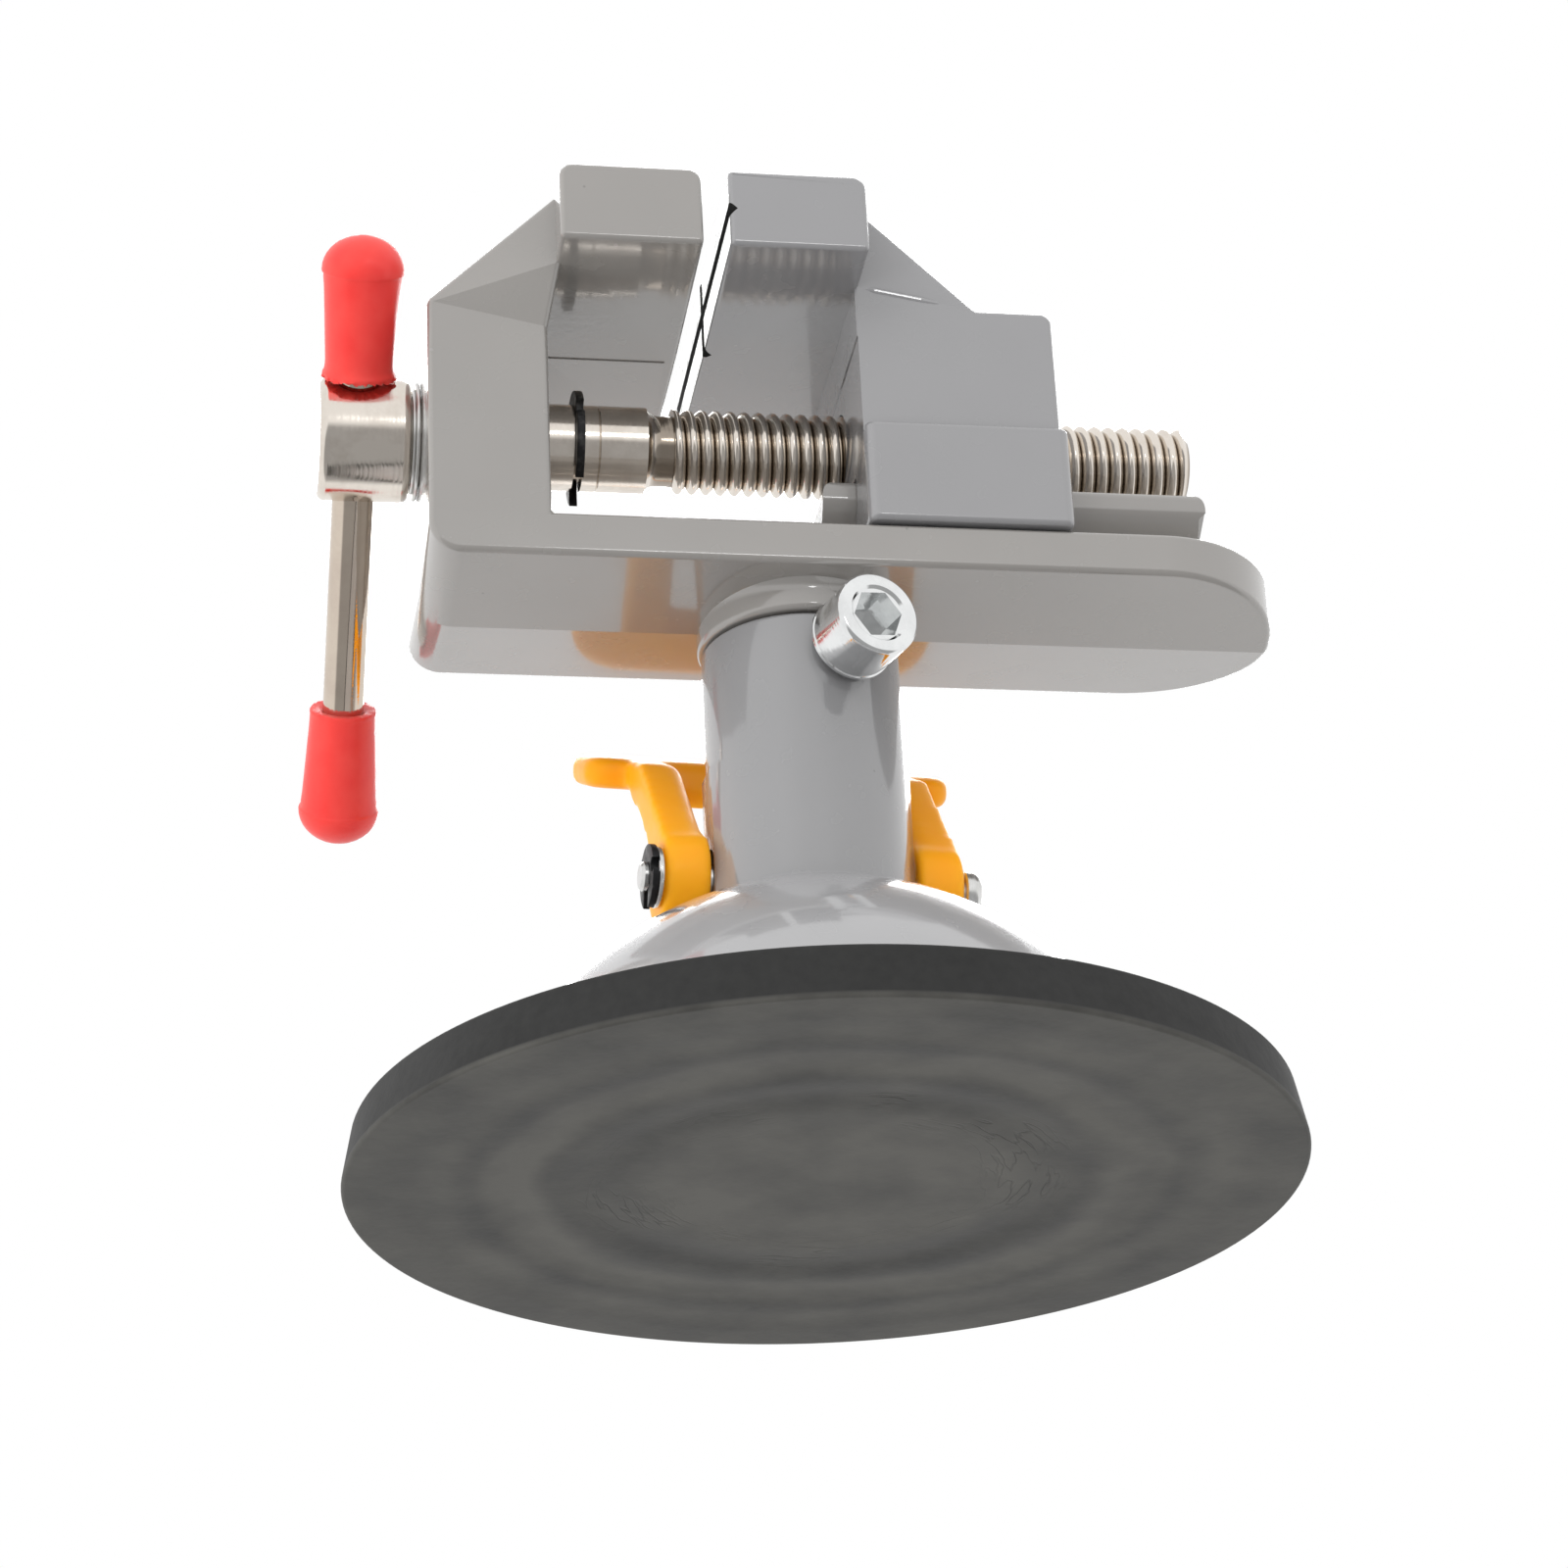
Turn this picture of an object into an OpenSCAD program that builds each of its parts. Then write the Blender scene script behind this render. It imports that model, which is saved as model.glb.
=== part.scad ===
// Suction-base mini vise, as an assembly of separate pieces.
// Millimetres. Origin at the centre of the pad's underside, +Z up.
// X runs along the vise with the handle at -X; the operator's near side is -Y.

/* [Assembly] */
// Piece to show

/* [Suction base] */
// Radius of the rubber pad
pad_r = 50; // [40:0.5:65]
// Height of the pad's rim
pad_h = 5.9; // [4.5:0.1:9]
// How far the rim leans in at its top
pad_taper = 0.95; // [0.2:0.05:3]
// Pad thickness inside the housing
pad_web = 3.4; // [2.6:0.1:4]
// Depth of the rings in the pad's underside
pad_ring_depth = 0.4; // [0.2:0.05:0.8]
// Radius of the bell's dome
bell_r = 37.5; // [35:0.5:39]
// How far the dome's centre lies under the bench
bell_drop = 5.4; // [4:0.1:7]
// Wall thickness of the bell
bell_wall = 3; // [2:0.1:4]
// Width of the pad left free around the bell's flange
flange_inset = 5; // [3:0.5:8]
// Thickness of the bell's flange
flange_h = 1.7; // [1:0.1:3]
// Column radius
column_r = 10.8; // [10:0.1:12]
// Column top above the pad
column_h = 55.9; // [52:0.1:62]

/* [Suction lever] */
// Turn of the base under the vise, about Z
base_turn = 4.5; // [-20:0.5:20]
// Lever pin above the pad
pin_rise = 28.4; // [27:0.1:31]
// Radius of the lever pin
pin_r = 1.6; // [1.2:0.1:2]
// Radius of the pin's round head
pin_head_r = 2.5; // [2:0.1:3.2]
// Length of the pin's round head
pin_head_l = 1.9; // [1:0.1:3]
// Rise of the lever's arms above level as it stands
lever_angle = 52.4; // [46:0.2:56]
// Rise of the paddle above level
paddle_angle = 28; // [20:1:45]
// How far the lever turns down to lock
lever_swing = 42; // [30:1:50]
// Lift of the plunger over that swing
plunger_lift = 1.6; // [1:0.1:2]
// Radius of the lever's round cam
cam_r = 5.2; // [5:0.1:6]
// Length of the arms from the pin to the paddle
lever_l = 24.6; // [23:0.2:27]
// Depth of the paddle along the lever
paddle_l = 15; // [8:0.2:18]
// Thickness of the paddle
paddle_t = 3.5; // [2.5:0.1:4.5]
// Half-width of the paddle
paddle_w = 20.8; // [19:0.2:26]
// Thickness of each lever arm
arm_t = 5.2; // [4:0.1:6]
// Depth of each lever arm
arm_d = 7; // [6:0.1:8]
// Half-width of the flats on the column beside the lever
side_pad_w = 2.2; // [1:0.1:3]
// Height of those flats above the lever pin
side_pad_h = 12.5; // [10:0.5:14]
// Radius of the plunger rod
plunger_r = 4.5; // [3.8:0.1:5]
// Radius of the plunger's foot
foot_r = 12; // [9:0.5:14]
// Thickness of the plunger's foot
foot_h = 2.5; // [2:0.1:3]

/* [Swivel lock] */
// Direction of the lock screw, from -Y towards +X
lock_turn = 17.5; // [-30:0.5:30]
// Lock screw below the column top
lock_drop = 3.7; // [3.6:0.1:6]
// Radius of the lock screw's head
lock_head_r = 4.75; // [4:0.05:5]
// Head face from the column's axis
lock_reach = 18.7; // [17:0.1:22]
// Socket width across flats
lock_flats = 5; // [4:0.5:5]
// Depth of the socket
lock_socket = 4.5; // [3:0.5:6]
// Thread radius of the lock screw
lock_r = 3; // [2.5:0.1:3.2]
// Radius of the swivel spigot
spigot_r = 7; // [6.4:0.1:7.4]
// Length of the swivel spigot
spigot_l = 14.5; // [13:0.5:15]
// Depth of the groove in the spigot
spigot_groove = 1; // [0.6:0.1:1.4]
// Height of the round boss under the body
boss_h = 2.2; // [1.6:0.1:4]
// Radius of the round boss
boss_r = 11.2; // [10:0.1:12.5]

/* [Vise body] */
// Half-width of the base beam and uprights
body_w = 14.7; // [13:0.1:17]
// Left end of the body
body_left = -41.6; // [-48:0.2:-38]
// Right tip of the body
body_tip = 53; // [50:0.5:60]
// Side height of the base beam
beam_h = 4.8; // [4:0.1:6]
// Drop of the gabled underside at the middle
beam_gable = 1.65; // [1:0.05:3]
// Rounding of the beam's lower left edge
beam_corner = 3.5; // [2:0.1:5]
// Thickness of the fixed upright
upright_t = 13.1; // [11:0.1:15]
// Height of the upright's outer shoulder above the beam
shoulder_h = 25.9; // [23:0.1:28]
// Screw axis above the beam
screw_rise = 16.5; // [16.4:0.1:19]
// Rail height above the beam
rail_h = 8.8; // [8:0.1:9]
// Half-width of the rail's head
rail_w = 8.6; // [7.5:0.1:9.5]
// Half-width of the rail's neck
rail_neck = 5; // [4:0.1:6.5]
// Left end of the rail
rail_left = 2; // [0:0.2:2.5]
// Right end of the rail
rail_right = 45; // [44:0.2:47]

/* [Jaws] */
// Half-width of the jaws
jaw_w = 22.35; // [19:0.1:26]
// Height of the jaws
jaw_h = 9.5; // [8:0.1:12]
// Underside of the jaws above the screw axis
jaw_rise = 13.35; // [11:0.05:15]
// Length of the fixed jaw along the screw
jaw_t = 15.6; // [12:0.1:16]
// Length of the moving jaw along the screw
slide_jaw_t = 15.3; // [12:0.1:16]
// Opening of the jaws as it stands
jaw_gap = 2.95; // [2.7:0.05:6]
// Edge radius of the jaws
jaw_edge = 1.1; // [0.6:0.1:2]
// Step between an upright and its jaw's back
jaw_step = 0.8; // [0.4:0.1:1.2]
// Half-width of the webs under the jaws
web_w = 16.4; // [15.5:0.1:18]
// Fall of the webs' lower edge towards the jaws
web_fall = 2.9; // [2:0.1:4]
// Depth of the V grooves in the moving jaw
vee = 0.9; // [0.6:0.1:1.6]
// Length of the sliding block
block_l = 22; // [20:0.1:24]
// Top of the sliding block under the jaw's underside
block_drop = 2.3; // [1:0.1:4]
// Half-width of the carriage
carriage_w = 15.4; // [14.9:0.1:17]
// Height of the carriage
carriage_h = 12.2; // [11.5:0.1:13]
// How much longer the carriage is than the block
carriage_extra = 0.8; // [0.2:0.1:2]

/* [Lead screw and handle] */
// Outer radius of the thread
thread_r = 4.78; // [4:0.02:5]
// Thread pitch
pitch = 1.6; // [1.25:0.05:2]
// Depth of the thread
thread_depth = 0.9; // [0.6:0.05:1.1]
// Right end of the screw
screw_end = 45.2; // [45:0.2:52]
// Start of the thread
thread_start = -13.4; // [-14:0.2:-10]
// Length of the turned neck
neck_l = 2.1; // [1:0.1:3]
// Radius of the plain shank
shank_r = 4.83; // [4.8:0.01:5.1]
// Radius of the screw's head
head_r = 6.8; // [6:0.1:8]
// Length of the screw's head
head_l = 10; // [9:0.1:12]
// Radius of the smaller washer
washer_r = 5.8; // [5.4:0.1:6.6]
// Thickness of each washer
washer_t = 0.4; // [0.3:0.05:0.9]
// Outer radius of the screw's clip
clip_r = 6.4; // [6:0.1:7]
// Thickness of the screw's clip
clip_t = 0.9; // [0.6:0.05:1.2]
// Distance of the clip from the upright
clip_play = 4; // [0.4:0.1:4.5]
// Radius of the handle bar
bar_r = 2.3; // [2:0.05:2.8]
// Lean of the handle bar towards the operator
bar_lean = 45; // [0:1:90]
// Length of the bar between its caps
bar_free = 38.3; // [30:0.1:48]
// Length of a handle cap
cap_l = 15.8; // [13:0.1:20]
// Radius of a cap at its rim
cap_rim_r = 3.85; // [3.4:0.05:4.5]
// Radius of a cap at its dome
cap_dome_r = 4.55; // [4:0.05:5.5]
// Height of a cap's dome
cap_dome_h = 3.9; // [3:0.1:5]

/* [Clearances] */
// Radial play of shafts in their holes
fit_gap = 0.08; // [0.04:0.01:0.1]
// Gap between pieces that slide past each other
slide_gap = 0.35; // [0.3:0.05:0.5]
// Gap between turning faces
face_gap = 0.3; // [0.2:0.05:0.5]

/* [Hidden] */
$fn = 96;
eps = 0.02;
through = 200;
// heights
z_pin = pad_h + pin_rise;
z_column = pad_h + column_h;
z_boss = z_column + face_gap;
z_keel = z_boss + boss_h;
z_edge = z_keel + beam_gable;
z_beam = z_edge + beam_h;
z_screw = z_beam + screw_rise;
z_jaw = z_screw + jaw_rise;
z_top = z_jaw + jaw_h;
z_shoulder = z_beam + shoulder_h;
z_lock = z_column - lock_drop;
z_block = z_jaw - block_drop;
z_carriage = z_beam + slide_gap;
// lengths along the vise
x_upright = body_left + upright_t;
x_jaw_back = x_upright + jaw_step;
x_grip = x_jaw_back + jaw_t;
x_slide_grip = x_grip + jaw_gap;
x_slide_back = x_slide_grip + slide_jaw_t;
x_block = x_slide_back - jaw_step + 0.4;
x_block_end = x_block + block_l;
x_slide_shoulder = x_slide_back + (z_top - z_block) * 1.12;
x_washer = body_left - face_gap / 3;
x_head = x_washer - 2 * washer_t - face_gap / 3;
x_bar = x_head - head_l / 2 - 0.8;
x_clip = x_upright + clip_play;
// lever
cam_off = plunger_lift / (2 * sin(lever_swing / 2));
cam_y = cam_off * cos(lever_swing / 2);
cam_z = cam_off * sin(lever_swing / 2);
z_cam_seat = z_pin + cam_z - cam_r - face_gap;
arm_in = column_r + 0.5;
arm_out = arm_in + arm_t;
side_pad_x = arm_in - face_gap;
z_side_pad = sqrt(pow(bell_r - bell_wall / 2, 2) - column_r * column_r) - bell_drop;
pin_washer_x = arm_out + 0.1;
pin_washer_t = 0.6;
pin_clip_x = pin_washer_x + pin_washer_t + 0.05;
pin_clip_t = 0.7;
pin_end_x = pin_clip_x + pin_clip_t + 0.75;
// pad and plunger
z_foot = pad_web - 0.4;
flange_r = pad_r - flange_inset;
bell_foot_r = sqrt(bell_r * bell_r - pow(pad_h + flange_h + bell_drop, 2));
// handle
cap_rest = head_r + face_gap;
cap_floor = 2.4;
bar_top = cap_rest + cap_l - cap_floor;
bar_bottom = cap_rest - bar_free - cap_l + cap_floor;

module at_base() {
    rotate([0, 0, base_turn]) children();
}

module at_lock() {
    translate([0, 0, z_lock]) rotate([0, 0, lock_turn]) rotate([90, 0, 0]) children();
}

module along_x(x, z = 0) {
    translate([x, 0, z]) rotate([0, 90, 0]) children();
}

module at_bar() {
    translate([x_bar, 0, z_screw]) rotate([bar_lean, 0, 0]) children();
}

// A square in plan with rounded corners, lower left corner at [x0, y0].
module round_square(x0, y0, x1, y1, r) {
    translate([x0 + r, y0]) square([x1 - x0 - 2 * r, y1 - y0]);
    translate([x0, y0 + r]) square([x1 - x0, y1 - y0 - 2 * r]);
    for (x = [x0 + r, x1 - r]) {
        for (y = [y0 + r, y1 - r]) {
            translate([x, y]) circle(r);
        }
    }
}

module suction_pad() {
    ring_w = 1.6;
    hub_r = foot_r + slide_gap;
    rings = [0.36, 0.6, 0.82];
    color([0.2, 0.2, 0.2]) difference() {
        union() {
            cylinder(h = pad_web, r = flange_r - 1);
            difference() {
                cylinder(h = pad_h, r1 = pad_r, r2 = pad_r - pad_taper);
                translate([0, 0, -1]) cylinder(h = pad_h + 2, r = flange_r - 3);
            }
            cylinder(h = z_foot + foot_h + 0.4, r = hub_r + 3);
        }
        translate([0, 0, z_foot - slide_gap]) cylinder(h = pad_h, r = hub_r);
        for (k = rings) {
            translate([0, 0, -1]) difference() {
                cylinder(h = 1 + pad_ring_depth, r = k * pad_r + ring_w / 2);
                cylinder(h = 1 + pad_ring_depth, r = k * pad_r - ring_w / 2);
            }
        }
    }
}

// Half section of the bell and column, revolved about Z.
module housing_section() {
    z_bore = z_column - spigot_l - face_gap;
    difference() {
        union() {
            intersection() {
                translate([0, -bell_drop]) circle(bell_r);
                translate([0, pad_h]) square([bell_r, bell_r]);
            }
            translate([0, pad_h]) square([flange_r, flange_h]);
            translate([0, pad_h + flange_h]) polygon([
                [bell_foot_r - 6, 0], [flange_r - 1.5, 0], [flange_r - 6, 1.2], [bell_foot_r + 0.4, 2.9],
                [bell_foot_r - 2.2, 5], [bell_foot_r - 6, 5]]);
            translate([0, pad_h + bell_wall]) square([column_r, column_h - bell_wall]);
        }
        intersection() {
            translate([0, -bell_drop]) circle(bell_r - bell_wall);
            translate([0, pad_h - 1]) square([bell_r, bell_r]);
        }
        translate([-bell_r * 2, -1]) square([bell_r * 2, z_column * 2]);
        translate([-1, pad_h - 1]) square([plunger_r + fit_gap + 1, z_column]);
        translate([-1, z_bore]) square([spigot_r + fit_gap + 1, z_column]);
    }
}

module base_housing() {
    slot_r = pin_r + face_gap;
    flat_far = sqrt(side_pad_x * side_pad_x + side_pad_w * side_pad_w);
    flat_end = atan2(side_pad_w, side_pad_x) + acos(column_r / flat_far);
    flat_x = (column_r - 0.05) * cos(flat_end);
    flat_y = (column_r - 0.05) * sin(flat_end);
    color([0.66, 0.65, 0.64]) difference() {
        union() {
            rotate_extrude() housing_section();
            for (s = [0, 1]) {
                at_base() mirror([s, 0, 0]) translate([0, 0, z_side_pad])
                    linear_extrude(z_pin + side_pad_h - z_side_pad) polygon([
                        [side_pad_x, -side_pad_w], [side_pad_x, side_pad_w], [flat_x, flat_y],
                        [column_r * 0.7, 0], [flat_x, -flat_y]]);
            }
        }
        at_base() {
            translate([-through / 2, 0, z_pin]) rotate([90, 0, 90]) linear_extrude(through)
                round_square(-slot_r, -slot_r, slot_r, slot_r + plunger_lift, slot_r - eps);
            for (s = [0, 1]) {
                mirror([s, 0, 0]) translate([side_pad_x, cam_y - cam_r - face_gap, z_cam_seat])
                    cube([20, 2 * cam_r + 2 * face_gap, 20]);
            }
        }
        at_lock() {
            cylinder(h = column_r + 5, r = lock_r + fit_gap);
        }
    }
}

module plunger() {
    top = z_column - spigot_l - 3.2;
    color([0.6, 0.6, 0.62]) difference() {
        union() {
            translate([0, 0, z_foot]) cylinder(h = foot_h, r = foot_r);
            translate([0, 0, z_foot]) cylinder(h = top - z_foot, r = plunger_r);
        }
        at_base() translate([0, 0, z_pin]) along_x(-through / 2) cylinder(h = through, r = pin_r + fit_gap);
    }
}

// Side view of one lever arm in the plane across the pin: u along the lever, v across it.
module arm_profile() {
    translate([cam_y, cam_z]) circle(cam_r);
    rotate(lever_angle) polygon([
        [1, arm_d * 0.56], [lever_l * 0.8, arm_d * 0.56], [lever_l + 0.65, 1.5],
        [lever_l + 1.4, -0.5], [lever_l - 0.65, -1.55], [lever_l * 0.84, -arm_d * 0.22],
        [lever_l * 0.66, -arm_d * 0.13], [lever_l * 0.5, -arm_d * 0.12], [lever_l * 0.35, -arm_d * 0.25],
        [3, -arm_d * 0.6]]);
}

// Side view of the bar that ties the two arms together under the paddle.
module tie_profile() {
    rotate(lever_angle) polygon([
        [lever_l - 4.5, -1.75], [lever_l - 4.5, 0.3], [lever_l, 0.8], [lever_l + 1.4, -0.5], [lever_l - 0.65, -1.55]]);
}

module lever() {
    r = paddle_t / 2 - 0.05;
    color([1, 0.63, 0.1]) at_base() translate([0, 0, z_pin]) difference() {
        union() {
            for (s = [0, 1]) {
                mirror([s, 0, 0]) translate([arm_in, 0, 0]) rotate([90, 0, 90])
                    linear_extrude(arm_t) arm_profile();
            }
            translate([-arm_in - 1, 0, 0]) rotate([90, 0, 90]) linear_extrude(2 * arm_in + 2) tie_profile();
            translate([0, lever_l * cos(lever_angle), lever_l * sin(lever_angle)]) rotate([paddle_angle, 0, 0])
                translate([0, 0, -paddle_t / 2]) linear_extrude(paddle_t)
                    round_square(-paddle_w, 0, paddle_w, paddle_l, r);
        }
        along_x(-through / 2) cylinder(h = through, r = pin_r + fit_gap);
    }
}

module lever_pin() {
    head_x = arm_out + 0.1;
    groove_r = pin_r * 0.78;
    color([0.78, 0.78, 0.78]) at_base() translate([0, 0, z_pin]) difference() {
        union() {
            along_x(-pin_end_x) cylinder(h = pin_end_x + head_x + eps, r = pin_r);
            along_x(head_x) cylinder(h = pin_head_l - 0.6, r = pin_head_r);
            along_x(head_x + pin_head_l - 0.6 - eps) cylinder(h = 0.6, r1 = pin_head_r, r2 = pin_head_r - 0.6);
        }
        along_x(-pin_clip_x - pin_clip_t - 0.05) difference() {
            cylinder(h = pin_clip_t + 0.1, r = pin_r + 1);
            translate([0, 0, -1]) cylinder(h = pin_clip_t + 2, r = groove_r);
        }
    }
}

module lever_pin_washer() {
    color([0.75, 0.75, 0.75]) at_base() translate([0, 0, z_pin])
        along_x(-pin_washer_x - pin_washer_t) linear_extrude(pin_washer_t) difference() {
            circle(pin_r + 1.7);
            circle(pin_r + fit_gap);
        }
}

// Flat E-clip with its mouth towards -X, in plan.
module e_clip(inner, outer, mouth) {
    difference() {
        circle(outer);
        circle(inner);
        translate([-outer - 1, -mouth / 2]) square([outer + 1, mouth]);
        for (s = [-1, 1]) {
            translate([outer * 0.32, s * (inner + outer) * 0.56]) circle((outer - inner) * 0.36);
        }
    }
}

module lever_pin_clip() {
    color([0.1, 0.1, 0.1]) at_base() translate([0, 0, z_pin])
        along_x(-pin_clip_x - pin_clip_t) linear_extrude(pin_clip_t)
            rotate(200) e_clip(pin_r * 0.78 + 0.03, pin_r * 2.2, pin_r * 1.3);
}

module lock_screw() {
    tip_at = spigot_r - spigot_groove + face_gap;
    head_at = boss_r + face_gap;
    color([0.8, 0.8, 0.8]) at_lock() difference() {
        union() {
            translate([0, 0, tip_at]) cylinder(h = head_at - tip_at + eps, r = lock_r);
            translate([0, 0, head_at]) cylinder(h = lock_reach - head_at - 0.4, r = lock_head_r);
            translate([0, 0, lock_reach - 0.4 - eps]) cylinder(h = 0.4 + eps, r1 = lock_head_r, r2 = lock_head_r - 0.4);
        }
        translate([0, 0, lock_reach - lock_socket])
            cylinder(h = lock_socket + 1, r = lock_flats / 2 / cos(30), $fn = 6);
    }
}

// Plan outline of the base beam: round at the right end, small round corners at the left.
module beam_plan() {
    x1 = body_tip - body_w;
    translate([body_left, -body_w]) square([x1 - body_left, 2 * body_w]);
    translate([x1, 0]) circle(body_w);
}

// What is taken off one half of the beam's lower left edge to round it.
module beam_edge(s) {
    translate([body_left, 0, z_keel]) rotate([s * atan2(beam_gable, body_w), 0, 0])
        translate([0, 1.5 * body_w, 0]) rotate([90, 0, 0]) linear_extrude(3 * body_w) difference() {
            translate([-1, -1]) square(beam_corner + 1);
            translate([beam_corner, beam_corner]) circle(beam_corner);
        }
}

// Section of the dovetail rail, widened by g for the slot that rides on it.
module rail_section(g) {
    foot = 1.8;
    head = rail_h - 2.6;
    polygon([
        [-rail_neck - g, -beam_h / 2], [-rail_neck - g, foot], [-rail_w - g, head], [-rail_w - g, rail_h - 0.6 + g],
        [-rail_w + 0.6, rail_h + g], [rail_w - 0.6, rail_h + g], [rail_w + g, rail_h - 0.6 + g],
        [rail_w + g, head], [rail_neck + g, foot], [rail_neck + g, -beam_h / 2]]);
}

// Upright with the web that carries its jaw. It stands from z_low; its outer side is x_out with a flat
// shoulder at z_out as far as x_flat; its inner side x_in ends at z_in; the web meets the jaw at x_back.
module post(x_out, x_flat, x_in, x_back, z_low, z_out, z_in, z0, z1) {
    polyhedron(
        points = [
            [x_out, -body_w, z_low], [x_in, -body_w, z_low], [x_in, body_w, z_low], [x_out, body_w, z_low],
            [x_out, -body_w, z_out], [x_out, body_w, z_out], [x_flat, -body_w, z_out], [x_flat, body_w, z_out],
            [x_in, -body_w, z_in], [x_in, body_w, z_in], [x_back, -web_w, z0], [x_back, web_w, z0],
            [x_back, -web_w, z1], [x_back, web_w, z1]],
        faces = [
            [0, 4, 6, 8, 1], [3, 2, 9, 7, 5], [0, 3, 5, 4], [1, 8, 9, 2], [0, 1, 2, 3], [4, 5, 7, 6],
            [6, 7, 13, 12], [6, 12, 10], [6, 10, 8], [7, 11, 13], [7, 9, 11], [8, 10, 11, 9], [10, 12, 13, 11]]);
}

module jaw_block(x0, x1) {
    translate([0, jaw_w, 0]) rotate([90, 0, 0]) linear_extrude(2 * jaw_w)
        round_square(x0, z_jaw, x1, z_top, jaw_edge);
}

module vise_body() {
    spigot_z = z_boss - spigot_l;
    groove_h = 2 * (lock_r + 0.4);
    color([0.66, 0.65, 0.64]) difference() {
        union() {
            intersection() {
                rotate([90, 0, 90]) translate([0, 0, -through / 2]) linear_extrude(through) polygon([
                    [-body_w, z_edge], [0, z_keel], [body_w, z_edge], [body_w, z_beam], [-body_w, z_beam]]);
                translate([0, 0, z_keel - 1]) linear_extrude(beam_h + beam_gable + 2) beam_plan();
            }
            post(body_left, body_left + 0.6, x_upright, x_jaw_back + 0.5, z_beam - 1, z_shoulder,
                z_shoulder - web_fall, z_jaw, z_top - jaw_edge);
            jaw_block(x_jaw_back, x_grip);
            intersection() {
                translate([0, 0, z_beam]) rotate([90, 0, 90]) linear_extrude(through) rail_section(0);
                translate([0, 0, z_edge]) linear_extrude(through)
                    round_square(rail_left, -rail_w, rail_right, rail_w, 2.5);
            }
            translate([0, 0, z_boss]) cylinder(h = z_beam - z_boss - 1, r = boss_r);
            translate([0, 0, spigot_z]) cylinder(h = spigot_l + 1, r = spigot_r);
        }
        translate([0, 0, z_lock - groove_h / 2]) difference() {
            cylinder(h = groove_h, r = spigot_r + 1);
            translate([0, 0, -1]) cylinder(h = groove_h + 2, r = spigot_r - spigot_groove);
        }
        along_x(body_left - 10, z_screw) cylinder(h = upright_t + 12, r = shank_r + fit_gap);
        beam_edge(-1);
        beam_edge(1);
    }
}

module moving_jaw() {
    z_groove = z_jaw + jaw_h * 0.48;
    color([0.64, 0.65, 0.67]) difference() {
        union() {
            translate([x_block, -carriage_w, z_carriage]) cube([block_l + carriage_extra, 2 * carriage_w, carriage_h]);
            mirror([1, 0, 0]) post(-x_block_end, -x_slide_shoulder, -x_block, -x_slide_back + 0.5,
                z_carriage + carriage_h - 1, z_block, z_block - web_fall, z_jaw, z_top - jaw_edge);
            jaw_block(x_slide_grip, x_slide_back);
        }
        translate([x_block - 5, 0, z_beam]) rotate([90, 0, 90]) linear_extrude(block_l + 20) rail_section(slide_gap);
        along_x(x_block - 5, z_screw) cylinder(h = block_l + 20, r = thread_r + fit_gap);
        translate([x_slide_grip, -jaw_w - 1, z_groove]) rotate([0, 45, 0])
            translate([-vee / 1.41, 0, -vee / 1.41]) cube([vee * 1.41, 2 * jaw_w + 2, vee * 1.41]);
        translate([x_slide_grip, 0, z_jaw - 1]) rotate([0, 0, 45])
            translate([-vee / 1.41, -vee / 1.41, 0]) cube([vee * 1.41, vee * 1.41, jaw_h + 2]);
    }
}

// Half outline of the lead screw about its own axis: [radius, place along X].
module screw_outline() {
    turns = floor((screw_end - thread_start - 1) / pitch);
    root = thread_r - thread_depth;
    crest = pitch * 0.16;
    flank = pitch * 0.34;
    thread = [for (i = [0 : turns - 1]) each [
        [root, thread_start + i * pitch],
        [root, thread_start + i * pitch + pitch - 2 * flank - crest],
        [thread_r, thread_start + i * pitch + pitch - flank - crest],
        [thread_r, thread_start + i * pitch + pitch - flank]]];
    x0 = x_head - head_l;
    polygon(concat(
        [[0, x0], [head_r - 1.2, x0], [head_r - 0.35, x0 + 0.35], [head_r, x0 + 1.2], [head_r, x_head - 1.2],
            [head_r - 0.35, x_head - 0.35], [head_r - 1.2, x_head], [shank_r, x_head],
            [shank_r, x_clip - 0.05], [shank_r * 0.8, x_clip - 0.05],
            [shank_r * 0.8, x_clip + clip_t + 0.05], [shank_r, x_clip + clip_t + 0.05],
            [shank_r, thread_start - neck_l - 0.8], [root, thread_start - neck_l]],
        thread,
        [[root, thread_start + turns * pitch], [root, screw_end], [0, screw_end]]));
}

module lead_screw() {
    color([0.78, 0.75, 0.7]) difference() {
        translate([0, 0, z_screw]) rotate([0, 90, 0]) rotate_extrude() screw_outline();
        at_bar() translate([0, 0, -through / 2]) cylinder(h = through, r = bar_r + fit_gap);
    }
}

module screw_washer_outer() {
    color([0.75, 0.74, 0.72]) along_x(x_washer - 2 * washer_t, z_screw) linear_extrude(washer_t) difference() {
        circle(washer_r);
        circle(shank_r + fit_gap);
    }
}

module screw_washer_inner() {
    color([0.75, 0.74, 0.72]) along_x(x_washer - washer_t, z_screw) linear_extrude(washer_t) difference() {
        circle(washer_r + 0.8);
        circle(shank_r + fit_gap);
    }
}

module screw_clip() {
    color([0.1, 0.1, 0.1]) along_x(x_clip, z_screw) linear_extrude(clip_t)
        rotate(180) e_clip(shank_r * 0.8 + 0.03, clip_r, shank_r * 1.3);
}

module handle_bar() {
    color([0.72, 0.68, 0.6]) at_bar() translate([0, 0, bar_bottom]) cylinder(h = bar_top - bar_bottom, r = bar_r);
}

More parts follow.
